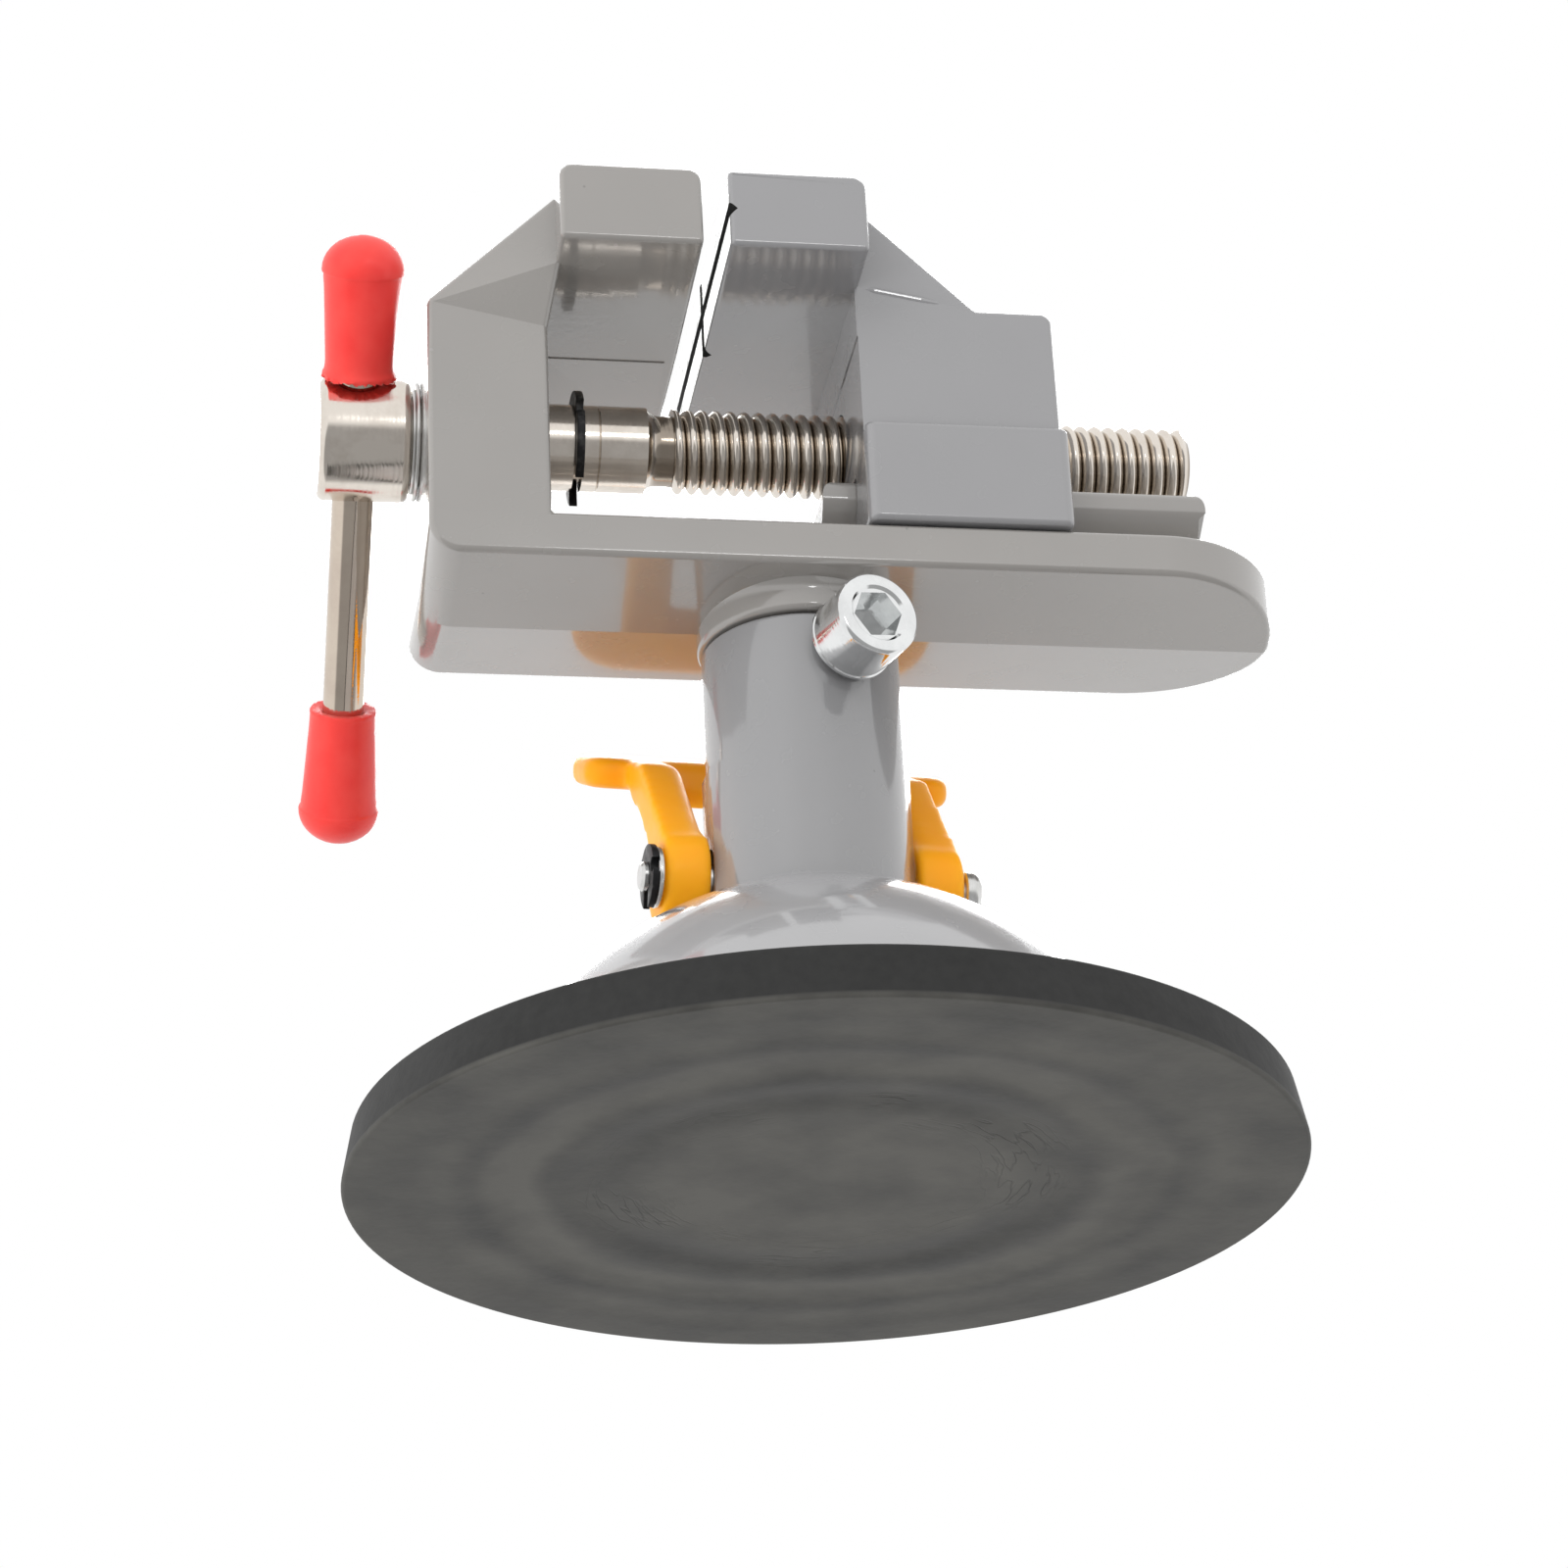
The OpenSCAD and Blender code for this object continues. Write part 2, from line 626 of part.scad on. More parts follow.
// A cap with its open rim at z = 0 and its dome upwards.
module handle_cap() {
    straight = cap_l - cap_dome_h;
    difference() {
        union() {
            cylinder(h = straight, r1 = cap_rim_r, r2 = cap_dome_r);
            intersection() {
                translate([0, 0, straight]) scale([1, 1, cap_dome_h / cap_dome_r]) sphere(r = cap_dome_r);
                translate([0, 0, straight - eps]) cylinder(h = cap_l, r = cap_l);
            }
        }
        translate([0, 0, -1]) cylinder(h = cap_l - cap_floor + 1, r = bar_r);
    }
}

module handle_cap_upper() {
    color([0.93, 0.22, 0.2]) at_bar() translate([0, 0, cap_rest]) handle_cap();
}

module handle_cap_lower() {
    color([0.93, 0.22, 0.2]) at_bar() translate([0, 0, cap_rest - bar_free]) mirror([0, 0, 1]) handle_cap();
}

suction_pad();
base_housing();
plunger();
lever();
lever_pin();
lever_pin_washer();
lever_pin_clip();
lock_screw();
vise_body();
moving_jaw();
lead_screw();
screw_washer_outer();
screw_washer_inner();
screw_clip();
handle_bar();
handle_cap_upper();
handle_cap_lower();
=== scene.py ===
import math

import bmesh
import bpy
from mathutils import Matrix, Vector


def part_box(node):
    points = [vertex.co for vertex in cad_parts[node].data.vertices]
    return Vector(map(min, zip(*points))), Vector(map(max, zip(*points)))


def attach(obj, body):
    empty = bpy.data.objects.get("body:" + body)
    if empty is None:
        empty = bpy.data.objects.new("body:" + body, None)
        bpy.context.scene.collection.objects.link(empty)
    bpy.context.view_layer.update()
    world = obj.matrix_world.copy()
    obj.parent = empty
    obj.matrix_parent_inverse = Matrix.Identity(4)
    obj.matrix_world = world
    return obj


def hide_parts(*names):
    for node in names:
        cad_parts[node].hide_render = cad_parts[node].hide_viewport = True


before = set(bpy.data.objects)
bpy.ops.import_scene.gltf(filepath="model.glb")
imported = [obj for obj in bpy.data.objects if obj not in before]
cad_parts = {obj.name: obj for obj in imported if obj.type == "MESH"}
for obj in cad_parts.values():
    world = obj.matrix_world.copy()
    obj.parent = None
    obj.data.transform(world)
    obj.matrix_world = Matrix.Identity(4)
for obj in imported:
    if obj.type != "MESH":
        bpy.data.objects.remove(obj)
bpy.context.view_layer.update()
bpy.ops.object.select_all(action="DESELECT")

# Sizes of the vise in millimetres, as the solids have them
MM = 0.001
NEAR = 0.02
PAD_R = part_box("suction_pad")[1].x / MM
PAD_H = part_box("suction_pad")[1].z / MM
COLUMN_R = 10.8
COLUMN_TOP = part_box("base_housing")[1].z / MM
FLANGE_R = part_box("base_housing")[1].x / MM
FLANGE_H = 1.7
BELL_R = 37.5
BELL_DROP = 5.4
BELL_WALL = 3.0
BASE_TURN = math.radians(4.5)
PIN_Z = 34.3
PIN_R = 1.6
PIN_GROOVE = PIN_R * 0.78
LEVER_ANGLE = math.radians(52.4)
LEVER_LENGTH = 24.6
PADDLE_ANGLE = math.radians(28)
PLUNGER_LIFT = 1.6
CAM_R = 5.2
CAM_AT = (2.084, 0.8)
ARM_IN = 11.3
ARM_OUT = 16.5
SIDE_PAD_X = 11.0
LOCK_TURN = math.radians(17.5)
LOCK_Z = 58.1
LOCK_R = 3.0
BODY_LEFT = -41.6
BODY_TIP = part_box("vise_body")[1].x / MM
BODY_W = 14.7
KEEL_Z = 64.3
EDGE_Z = 65.95
BEAM_Z = 70.75
BOSS_Z = 62.1
BOSS_R = 11.2
SPIGOT_R = 7.0
SPIGOT_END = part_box("vise_body")[0].z / MM
UPRIGHT_X = -28.5
SHOULDER_Z = 96.65
WEB_W = 17.2
WEB_FALL = 2.9
JAW_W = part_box("moving_jaw")[1].y / MM
JAW_LOW = 100.6
JAW_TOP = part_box("vise_body")[1].z / MM
WEB_TOP = JAW_TOP - 0.6
RIDGE_Y = 2.05
RIDGE_DROP = 0.5
RIDGE_Z = JAW_LOW - RIDGE_DROP
JAW_BACK = -27.7
GRIP_X = -12.1
SLIDE_GRIP_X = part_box("moving_jaw")[0].x / MM
SLIDE_BACK_X = 6.15
BLOCK_X = 5.75
BLOCK_END = 27.75
BLOCK_Z = 98.3
FOLD_RISE = 2.4
CARRIAGE_W = 15.4
CARRIAGE_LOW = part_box("moving_jaw")[0].z / MM
CARRIAGE_TOP = CARRIAGE_LOW + 12.2
CARRIAGE_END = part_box("moving_jaw")[1].x / MM
RAIL_LEFT = 2.0
RAIL_RIGHT = 45.0
RAIL_H = 8.8
RAIL_HEAD = RAIL_H - 2.6
RAIL_W = 8.6
RAIL_NECK = 5.0
SLIDE_GAP = 0.35
FIT_GAP = 0.08
SCREW_Z = 87.25
THREAD_R = 4.78
THREAD_ROOT = 3.88
PITCH = 1.6
THREAD_START = -13.4
SCREW_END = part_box("lead_screw")[1].x / MM
SHANK_R = 4.83
SHANK_GROOVE = SHANK_R * 0.8
SHANK_CLIP_X = -24.5
HEAD_R = 6.8
HEAD_X = -42.6
HEAD_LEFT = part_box("lead_screw")[0].x / MM
BAR_X = -48.4
BAR_R = 2.3
BAR_LEAN = math.radians(45)
CAP_REST = 7.1
CAP_LENGTH = 15.8
CAP_END = 2.4
BAR_FREE = 38.3


# Selecting and editing

def only(piece):
    bpy.ops.object.select_all(action="DESELECT")
    piece.select_set(True)
    bpy.context.view_layer.objects.active = piece


def edit(piece):
    only(piece)
    bpy.ops.object.mode_set(mode="EDIT")


def leave():
    bpy.ops.object.mode_set(mode="OBJECT")


def pick(kind, test):
    """Selects the vertices, edges or faces of the piece being edited that pass the test."""
    bpy.ops.mesh.select_mode(type=kind)
    bpy.ops.mesh.select_all(action="DESELECT")
    data = bpy.context.edit_object.data
    mesh = bmesh.from_edit_mesh(data)
    parts = {"VERT": mesh.verts, "EDGE": mesh.edges, "FACE": mesh.faces}[kind]
    for part in parts:
        if test(part):
            part.select_set(True)
    bmesh.update_edit_mesh(data)


def pick_points(test):
    pick("VERT", lambda vert: test(vert.co / MM))


def pick_edges(test):
    """The test is given an edge's middle in millimetres, its direction and the angle that it turns by."""
    def tried(edge):
        ends = edge.verts[1].co - edge.verts[0].co
        turn = math.degrees(edge.calc_face_angle(0.0))
        return test((edge.verts[0].co + edge.verts[1].co) / (2 * MM), ends.normalized(), turn)
    pick("EDGE", tried)


def pick_faces(test):
    pick("FACE", lambda face: test(face.calc_center_median() / MM, face.normal))


def on_line(point, start, end, reach=0.3):
    way = Vector(end) - Vector(start)
    along = max(0.0, min(1.0, (point - Vector(start)).dot(way) / way.length_squared))
    return (point - Vector(start) - way * along).length < reach


def move(offset):
    bpy.ops.transform.translate(value=Vector(offset) * MM)


def extrude(offset):
    bpy.ops.mesh.extrude_region_move(TRANSFORM_OT_translate={"value": Vector(offset) * MM})


def send(start, end):
    """Moves the vertex at one place to another."""
    pick_points(lambda point: (point - Vector(start)).length < NEAR)
    move(Vector(end) - Vector(start))


def connect(first, second):
    """Cuts a face along the line between two of its vertices."""
    ends = (Vector(first), Vector(second))
    pick_points(lambda point: min((point - end).length for end in ends) < NEAR)
    bpy.ops.mesh.vert_connect()


def slice_at(point, normal, trim=False):
    """Cuts everything along a plane, and with trim takes away what lies beyond it."""
    bpy.ops.mesh.select_mode(type="FACE")
    bpy.ops.mesh.select_all(action="SELECT")
    bpy.ops.mesh.bisect(
        plane_co=Vector(point) * MM, plane_no=normal, use_fill=trim, clear_outer=trim, threshold=1e-7)


def round_edges(radius, steps, test):
    pick_edges(test)
    bpy.ops.mesh.bevel(
        offset=radius * MM, offset_type="OFFSET", segments=steps, profile=0.5, affect="EDGES",
        clamp_overlap=False)


def close_up():
    """Merges doubled vertices and turns the faces outwards."""
    bpy.ops.mesh.select_all(action="SELECT")
    bpy.ops.mesh.remove_doubles(threshold=1e-6)
    bpy.ops.mesh.normals_make_consistent(inside=False)


# Starting a piece

def block(name, low, high):
    """A box between two corners, open for editing."""
    low, high = Vector(low) * MM, Vector(high) * MM
    bpy.ops.object.select_all(action="DESELECT")
    bpy.ops.mesh.primitive_cube_add(size=1, location=(low + high) / 2, scale=high - low)
    bpy.ops.object.transform_apply(location=True, rotation=True, scale=True)
    piece = bpy.context.object
    piece.name = name
    edit(piece)
    return piece


def line(name, points):
    """One vertex extruded from point to point, open for editing."""
    bpy.ops.object.select_all(action="DESELECT")
    bpy.ops.mesh.primitive_plane_add(size=MM)
    piece = bpy.context.object
    piece.name = name
    edit(piece)
    bpy.ops.mesh.select_mode(type="VERT")
    bpy.ops.mesh.select_all(action="SELECT")
    bpy.ops.mesh.merge(type="CENTER")
    move(points[0])
    for here, there in zip(points, points[1:]):
        extrude(there - here)
    return piece


def place(origin, across, up):
    """The frame at a point whose first two axes are given."""
    across, up = Vector(across).normalized(), Vector(up).normalized()
    return Matrix.Translation(Vector(origin)) @ Matrix((across, up, across.cross(up))).transposed().to_4x4()


def turned(name, outline, spot, steps=96, ring=False):
    """A piece spun from an outline of (radius, height) pairs about its place's third axis."""
    points = [spot @ Vector((radius, 0, height)) for radius, height in outline]
    piece = line(name, points + points[:1] if ring else points)
    bpy.ops.mesh.select_all(action="SELECT")
    axis = spot.to_3x3() @ Vector((0, 0, 1))
    bpy.ops.mesh.spin(steps=steps, angle=2 * math.pi, center=spot.translation * MM, axis=axis)
    close_up()
    leave()
    return piece


def rod(name, radius, start, end, spot, steps=96):
    """A plain round bar along its place's third axis, to drill a hole with."""
    return turned(name, [(0, start), (radius, start), (radius, end), (0, end)], spot, steps)


def prism(name, outline, spot, height):
    """A closed flat outline, extruded along its place's third axis."""
    points = [spot @ Vector((u, v, 0)) for u, v in outline]
    piece = line(name, points + points[:1])
    bpy.ops.mesh.select_all(action="SELECT")
    bpy.ops.mesh.remove_doubles(threshold=1e-6)
    bpy.ops.mesh.edge_face_add()
    extrude(spot.to_3x3() @ Vector((0, 0, height)))
    close_up()
    leave()
    return piece


def arc(centre, radius, start, end, steps):
    """Points along an arc, with its angles in degrees."""
    angles = [math.radians(start + (end - start) * i / steps) for i in range(steps + 1)]
    return [(centre[0] + radius * math.cos(a), centre[1] + radius * math.sin(a)) for a in angles]


def bow(start, pull, end, steps):
    """Points along a curve that leaves its start and reaches its end towards the pull point."""
    shares = [i / steps for i in range(steps + 1)]
    return [tuple((1 - t) ** 2 * a + 2 * t * (1 - t) * b + t * t * c for a, b, c in zip(start, pull, end))
            for t in shares]


def round_oblong(u0, v0, u1, v1, radius, steps=6):
    corners = [((u1 - radius, v0 + radius), -90), ((u1 - radius, v1 - radius), 0),
               ((u0 + radius, v1 - radius), 90), ((u0 + radius, v0 + radius), 180)]
    return [point for centre, start in corners for point in arc(centre, radius, start, start + 90, steps)]


# Putting solids together

def apply(piece, change):
    only(piece)
    bpy.ops.object.modifier_apply(modifier=change.name)


def combine(piece, tool, operation):
    change = piece.modifiers.new("combine", "BOOLEAN")
    change.operation = operation
    change.solver = "EXACT"
    change.object = tool
    apply(piece, change)
    bpy.data.objects.remove(tool)


def weld(piece, *parts):
    for part in parts:
        combine(piece, part, "UNION")


def carve(piece, *tools):
    for tool in tools:
        combine(piece, tool, "DIFFERENCE")


def smooth(piece, angle=32):
    """Smooth shading with flat faces kept flat and marked creases kept sharp."""
    only(piece)
    bpy.ops.object.shade_smooth_by_angle(angle=math.radians(angle), keep_sharp_edges=True)
    even = piece.modifiers.new("even", "WEIGHTED_NORMAL")
    even.keep_sharp = True
    apply(piece, even)


def mark_creases(piece, lines):
    """Keeps the shallow folds along some lines sharp."""
    edit(piece)
    pick_edges(lambda p, way, turn: 3 < turn < 25 and any(on_line(p, *ends) for ends in lines))
    bpy.ops.mesh.mark_sharp()
    leave()


def settle(piece, body, slot, finishes, *nodes):
    """Gives a finished piece its materials, its body and the solids that it stands for."""
    for finish in finishes:
        piece.data.materials.append(finish)
    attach(piece, body)
    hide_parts(*nodes)


def paint(piece, index, test):
    """Gives the faces that pass the test another of the piece's materials."""
    edit(piece)
    pick_faces(test)
    piece.active_material_index = index
    bpy.ops.object.material_slot_assign()
    leave()


# Materials

def map_range(tree, value, low, high, start, end):
    """Maps a value from low..high to start..end."""
    made = tree.nodes.new("ShaderNodeMapRange")
    for key, number in (("From Min", low), ("From Max", high), ("To Min", start), ("To Max", end)):
        made.inputs[key].default_value = number
    tree.links.new(value, made.inputs["Value"])
    return made.outputs["Result"]


class Finish:
    """A procedural material while it is being wired up."""

    def __init__(self, name, color, roughness, metallic=0.0):
        self.material = bpy.data.materials.new(name)
        self.material.use_nodes = True
        self.tree = self.material.node_tree
        self.shader = self.tree.nodes["Principled BSDF"]
        self.shader.inputs["Base Color"].default_value = (*color, 1)
        self.shader.inputs["Roughness"].default_value = roughness
        self.shader.inputs["Metallic"].default_value = metallic
        self.spot = self.node("ShaderNodeTexCoord").outputs["Object"]

    def node(self, kind, **values):
        made = self.tree.nodes.new(kind)
        for key, value in values.items():
            setattr(made, key, value)
        return made

    def wire(self, source, target):
        self.tree.links.new(source, target)

    def stretched(self, scale, origin=(0, 0, 0), turn=(0, 0, 0)):
        """Object coordinates moved to an origin, turned and scaled."""
        mapping = self.node("ShaderNodeMapping")
        mapping.vector_type = "TEXTURE"
        mapping.inputs["Location"].default_value = Vector(origin) * MM
        mapping.inputs["Rotation"].default_value = turn
        mapping.inputs["Scale"].default_value = [1 / max(s, 1e-6) for s in scale]
        self.wire(self.spot, mapping.inputs["Vector"])
        return mapping.outputs["Vector"]

    def noise(self, grain, detail=3.0, vector=None, rough=0.5):
        """Noise whose features are about as large as the grain, in millimetres."""
        made = self.node("ShaderNodeTexNoise")
        made.inputs["Scale"].default_value = 1 / (grain * MM)
        made.inputs["Detail"].default_value = detail
        made.inputs["Roughness"].default_value = rough
        self.wire(vector or self.spot, made.inputs["Vector"])
        return made.outputs["Fac"]

    def ramp(self, value, low, high, start, end):
        return map_range(self.tree, value, low, high, start, end)

    def length(self, vector):
        made = self.node("ShaderNodeVectorMath", operation="LENGTH")
        self.wire(vector, made.inputs[0])
        return made.outputs["Value"]

    def height(self):
        """Height of a point above the bench."""
        split = self.node("ShaderNodeSeparateXYZ")
        self.wire(self.spot, split.inputs[0])
        return split.outputs["Z"]

    def bands(self, value, stops):
        """A smooth run of levels along a value from 0 to 1."""
        made = self.node("ShaderNodeValToRGB")
        made.color_ramp.interpolation = "EASE"
        for at, level in stops[1:-1]:
            made.color_ramp.elements.new(at)
        for element, (at, level) in zip(made.color_ramp.elements, stops):
            element.position = at
            element.color = (level, level, level, 1)
        self.wire(value, made.inputs["Fac"])
        return made.outputs["Color"]

    def blend(self, share, first, second):
        """A colour between two, by a share from 0 to 1."""
        made = self.node("ShaderNodeMix", data_type="RGBA")
        self.wire(share, made.inputs[0])
        for socket, color in ((made.inputs[6], first), (made.inputs[7], second)):
            if isinstance(color, tuple):
                socket.default_value = (*color, 1)
            else:
                self.wire(color, socket)
        return made.outputs[2]

    def sum(self, operation, first, second):
        made = self.node("ShaderNodeMath", operation=operation)
        for socket, value in zip(made.inputs, (first, second)):
            if isinstance(value, (int, float)):
                socket.default_value = value
            else:
                self.wire(value, socket)
        return made.outputs[0]

    def relief(self, height, depth):
        """Bump from a height of 0 to 1, over a depth in millimetres."""
        made = self.node("ShaderNodeBump")
        made.inputs["Strength"].default_value = 1.0
        made.inputs["Distance"].default_value = depth * MM
        self.wire(height, made.inputs["Height"])
        self.wire(made.outputs["Normal"], self.shader.inputs["Normal"])

    def set(self, **values):
        for key, value in values.items():
            self.shader.inputs[key.replace("_", " ")].default_value = value

    def color(self, source):
        self.wire(source, self.shader.inputs["Base Color"])

    def roughness(self, source):
        self.wire(source, self.shader.inputs["Roughness"])


def enamel(name, light, dark, rough_at=None, painted_light_below=None):
    """Glossy grey paint on a casting, with a faint orange peel, a few specks of dust, maybe a rough patch
    and maybe painted light that makes the colour paler below a height."""
    made = Finish(name, light, 0.2)
    cloud = made.ramp(made.noise(14, 2), 0.35, 0.65, 0, 1)
    plain = made.blend(cloud, light, dark)
    # Painted light: below the height the colour turns paler, standing in for the brighter light on the bell.
    if painted_light_below:
        share = made.ramp(made.height(), (painted_light_below - 2) * MM, (painted_light_below + 3) * MM, 1, 0)
        plain = made.blend(share, plain, tuple(1.45 * c for c in light))
    speck = made.node("ShaderNodeTexVoronoi")
    speck.inputs["Scale"].default_value = 1 / (7 * MM)
    made.wire(made.spot, speck.inputs["Vector"])
    dust = made.ramp(speck.outputs["Distance"], 0.012, 0.03, 0.5, 0)
    made.color(made.blend(dust, plain, tuple(c * 0.4 for c in dark)))
    made.roughness(made.ramp(made.noise(5, 3), 0.3, 0.7, 0.2, 0.3))
    skin = made.sum("ADD", made.noise(1.6, 1), made.sum("MULTIPLY", made.noise(9, 2), 2.0))
    if rough_at:
        away = made.node("ShaderNodeVectorMath", operation="DISTANCE")
        away.inputs[1].default_value = Vector(rough_at) * MM
        made.wire(made.spot, away.inputs[0])
        patch = made.ramp(away.outputs["Value"], 2 * MM, 8 * MM, 14, 0)
        skin = made.sum("ADD", skin, made.sum("MULTIPLY", patch, made.noise(0.8, 3)))
    made.relief(skin, 0.008)
    made.set(Coat_Weight=1.0, Coat_Roughness=0.08, Coat_IOR=1.85)
    return made.material


def milled_grip():
    """A grip face milled bright, with fine tool lines and small pits."""
    made = Finish("milled_grip", (0.7, 0.71, 0.7), 0.3, 0.85)
    lines = made.noise(0.5, 2, made.stretched((1, 0.04, 1)))
    pits = made.ramp(made.noise(1.2, 4), 0.5, 0.72, 0, 1)
    made.color(made.blend(pits, (0.7, 0.71, 0.7), (0.25, 0.25, 0.24)))
    made.roughness(made.ramp(lines, 0.3, 0.7, 0.22, 0.42))
    made.relief(made.sum("SUBTRACT", lines, pits), 0.02)
    return made.material


def groove_shade():
    """Painted shade on the floor of the grip's grooves: a near-black colour standing in for the shade in
    them.
    """
    made = Finish("dark_groove", (0.01, 0.01, 0.01), 0.6)
    made.color(made.blend(made.noise(0.8, 3), (0.006, 0.006, 0.006), (0.02, 0.02, 0.019)))
    made.relief(made.noise(0.4, 2), 0.02)
    return made.material


def rubber():
    """Matt black rubber: a paler, mottled underside with soft rings of painted light and shade, short
    wrinkles round its middle whose folds are darkened as painted shade, and a darker rim."""
    made = Finish("black_rubber", (0.05, 0.049, 0.047), 0.62)
    flat = made.node("ShaderNodeVectorMath", operation="MULTIPLY")
    flat.inputs[1].default_value = (1, 1, 0)
    made.wire(made.spot, flat.inputs[0])
    span = made.length(flat.outputs["Vector"])
    wobble = made.ramp(made.noise(18, 3), 0, 1, -3.5 * MM, 3.5 * MM)
    radius = made.sum("ADD", span, wobble)
    # Painted light and shade: bright and dark rings in the colour stand in for the shading of the underside's
    # ripples; the mottle added to them is the rubber's own.
    rings = made.bands(made.ramp(radius, 0, PAD_R * MM, 0, 1), (
        (0.0, 0.72), (0.14, 0.62), (0.24, 0.85), (0.36, 0.75), (0.46, 0.4), (0.56, 0.32),
        (0.63, 0.95), (0.69, 0.75), (0.74, 0.3), (0.81, 0.66), (0.9, 0.46), (1.0, 0.55)))
    fine = made.noise(1.2, 4)
    mottle = made.ramp(made.noise(14, 5, rough=0.6), 0.36, 0.64, -0.28, 0.28)
    bloom_and_shade_rings = made.sum("ADD", rings, mottle)
    around = made.node("ShaderNodeVectorMath", operation="NORMALIZE")
    made.wire(flat.outputs["Vector"], around.inputs[0])
    stretch = made.node("ShaderNodeCombineXYZ")
    made.wire(made.sum("MULTIPLY", span, 3.0), stretch.inputs["Z"])
    polar = made.node("ShaderNodeVectorMath", operation="MULTIPLY_ADD")
    polar.inputs[1].default_value = (12 * MM, 12 * MM, 1)
    made.wire(around.outputs["Vector"], polar.inputs[0])
    made.wire(stretch.outputs["Vector"], polar.inputs[2])
    fold = made.sum("ABSOLUTE", made.sum("SUBTRACT", made.noise(5, 2, polar.outputs["Vector"]), 0.5), 0)
    zone = made.sum("MULTIPLY", made.ramp(span, 15 * MM, 20 * MM, 0, 1),
                    made.ramp(span, 23 * MM, 27 * MM, 1, 0))
    torn = made.sum("MULTIPLY", zone, made.ramp(made.noise(13, 2), 0.46, 0.6, 0, 1))
    crease = made.sum("MULTIPLY", made.ramp(fold, 0, 0.035, 1, 0), torn)
    under = made.blend(bloom_and_shade_rings, (0.023, 0.0225, 0.021), (0.113, 0.11, 0.1))
    # Painted shade: the wrinkle folds are darkened.
    crease_shaded = made.blend(made.sum("MULTIPLY", crease, 0.3), under, (0.015, 0.015, 0.014))
    rim = made.blend(fine, (0.016, 0.016, 0.016), (0.03, 0.03, 0.029))
    edge = made.sum("MULTIPLY", made.ramp(made.height(), 0.25 * MM, 0.7 * MM, 0, 1),
                    made.ramp(span, (PAD_R - 3) * MM, (PAD_R - 2) * MM, 0, 1))
    made.color(made.blend(edge, crease_shaded, rim))
    made.roughness(made.ramp(bloom_and_shade_rings, 0, 1, 0.5, 0.68))
    made.relief(made.sum("SUBTRACT", made.sum("MULTIPLY", fine, 0.4), crease), 0.1)
    made.set(Specular_IOR_Level=0.3)
    return made.material


def amber():
    """Satin amber plastic with faint flow marks and a painted glow: a faint emission that stands in for the
    light that passes through it.
    """
    made = Finish("amber_plastic", (1.0, 0.4, 0.012), 0.38)
    flow = made.noise(9, 2, made.stretched((1, 1, 0.3)))
    made.color(made.blend(made.ramp(flow, 0.35, 0.65, 0, 1), (1.0, 0.37, 0.006), (1.0, 0.415, 0.009)))
    made.roughness(made.ramp(made.noise(3, 3), 0.3, 0.7, 0.33, 0.43))
    made.relief(made.noise(2.5, 2), 0.015)
    made.set(Subsurface_Weight=0.4, Subsurface_Scale=3 * MM, Subsurface_Radius=(1.0, 0.7, 0.3))
    # Painted light: a faint orange emission, though the lever is no lamp.
    made.set(Specular_IOR_Level=0.25, Emission_Color=(1.0, 0.4, 0.01, 1), Emission_Strength=0.12)
    return made.material


def vinyl():
    """Soft red dipped vinyl with a slightly uneven skin."""
    made = Finish("red_vinyl", (0.83, 0.036, 0.032), 0.36)
    skin = made.noise(4, 3)
    made.color(made.blend(made.ramp(skin, 0.35, 0.65, 0, 1), (0.93, 0.042, 0.036), (0.97, 0.062, 0.05)))
    made.roughness(made.ramp(skin, 0.3, 0.7, 0.28, 0.44))
    made.relief(made.sum("ADD", skin, made.sum("MULTIPLY", made.noise(0.7, 2), 0.3)), 0.05)
    made.set(Subsurface_Weight=0.15, Subsurface_Scale=1.5 * MM, Subsurface_Radius=(1.0, 0.25, 0.2))
    return made.material


def plated(name, light, dark, roughness, origin=(0, 0, 0), turn=(0, 0, 0)):
    """Bright plate with lathe lines round its own axis, which is its third one after the turn."""
    spacing = 0.35
    made = Finish(name, light, roughness, 1.0)
    lines = made.noise(spacing, 2, made.stretched((0.02, 0.02, 1), origin, turn))
    stain = made.ramp(made.noise(3.5, 4, rough=0.6), 0.4, 0.68, 0, 1)
    made.color(made.blend(stain, light, dark))
    made.roughness(made.ramp(lines, 0.3, 0.7, roughness * 0.7, roughness * 1.5))
    made.relief(made.sum("ADD", lines, made.sum("MULTIPLY", made.noise(1.1, 3), 0.5)), 0.01)
    return made.material


def nickel_thread():
    """Warm nickel plate on the spindle, browner in the roots of its thread."""
    made = Finish("nickel_plate", (0.74, 0.68, 0.61), 0.16, 1.0)
    span = made.length(made.stretched((0, 1, 1), (0, 0, SCREW_Z)))
    root = made.ramp(span, THREAD_ROOT * MM, (THREAD_ROOT + 0.4) * MM, 1, 0)
    stain = made.ramp(made.noise(3, 4, rough=0.6), 0.45, 0.7, 0, 0.5)
    plain = made.blend(stain, (0.78, 0.72, 0.65), (0.62, 0.55, 0.48))
    made.color(made.blend(root, plain, (0.3, 0.25, 0.2)))
    lines = made.noise(0.3, 2, made.stretched((1, 0.02, 0.02), (0, 0, SCREW_Z)))
    made.roughness(made.ramp(lines, 0.3, 0.7, 0.1, 0.2))
    made.relief(made.sum("ADD", lines, made.noise(1.3, 3)), 0.006)
    return made.material


def black_oxide():
    """Black oxide on spring steel, rubbed paler in places."""
    made = Finish("black_oxide", (0.02, 0.02, 0.021), 0.35, 0.7)
    rub = made.ramp(made.noise(1.5, 4, rough=0.6), 0.5, 0.75, 0, 1)
    made.color(made.blend(rub, (0.018, 0.018, 0.019), (0.09, 0.088, 0.085)))
    made.roughness(made.ramp(rub, 0, 1, 0.42, 0.28))
    made.relief(made.noise(0.5, 3), 0.01)
    return made.material


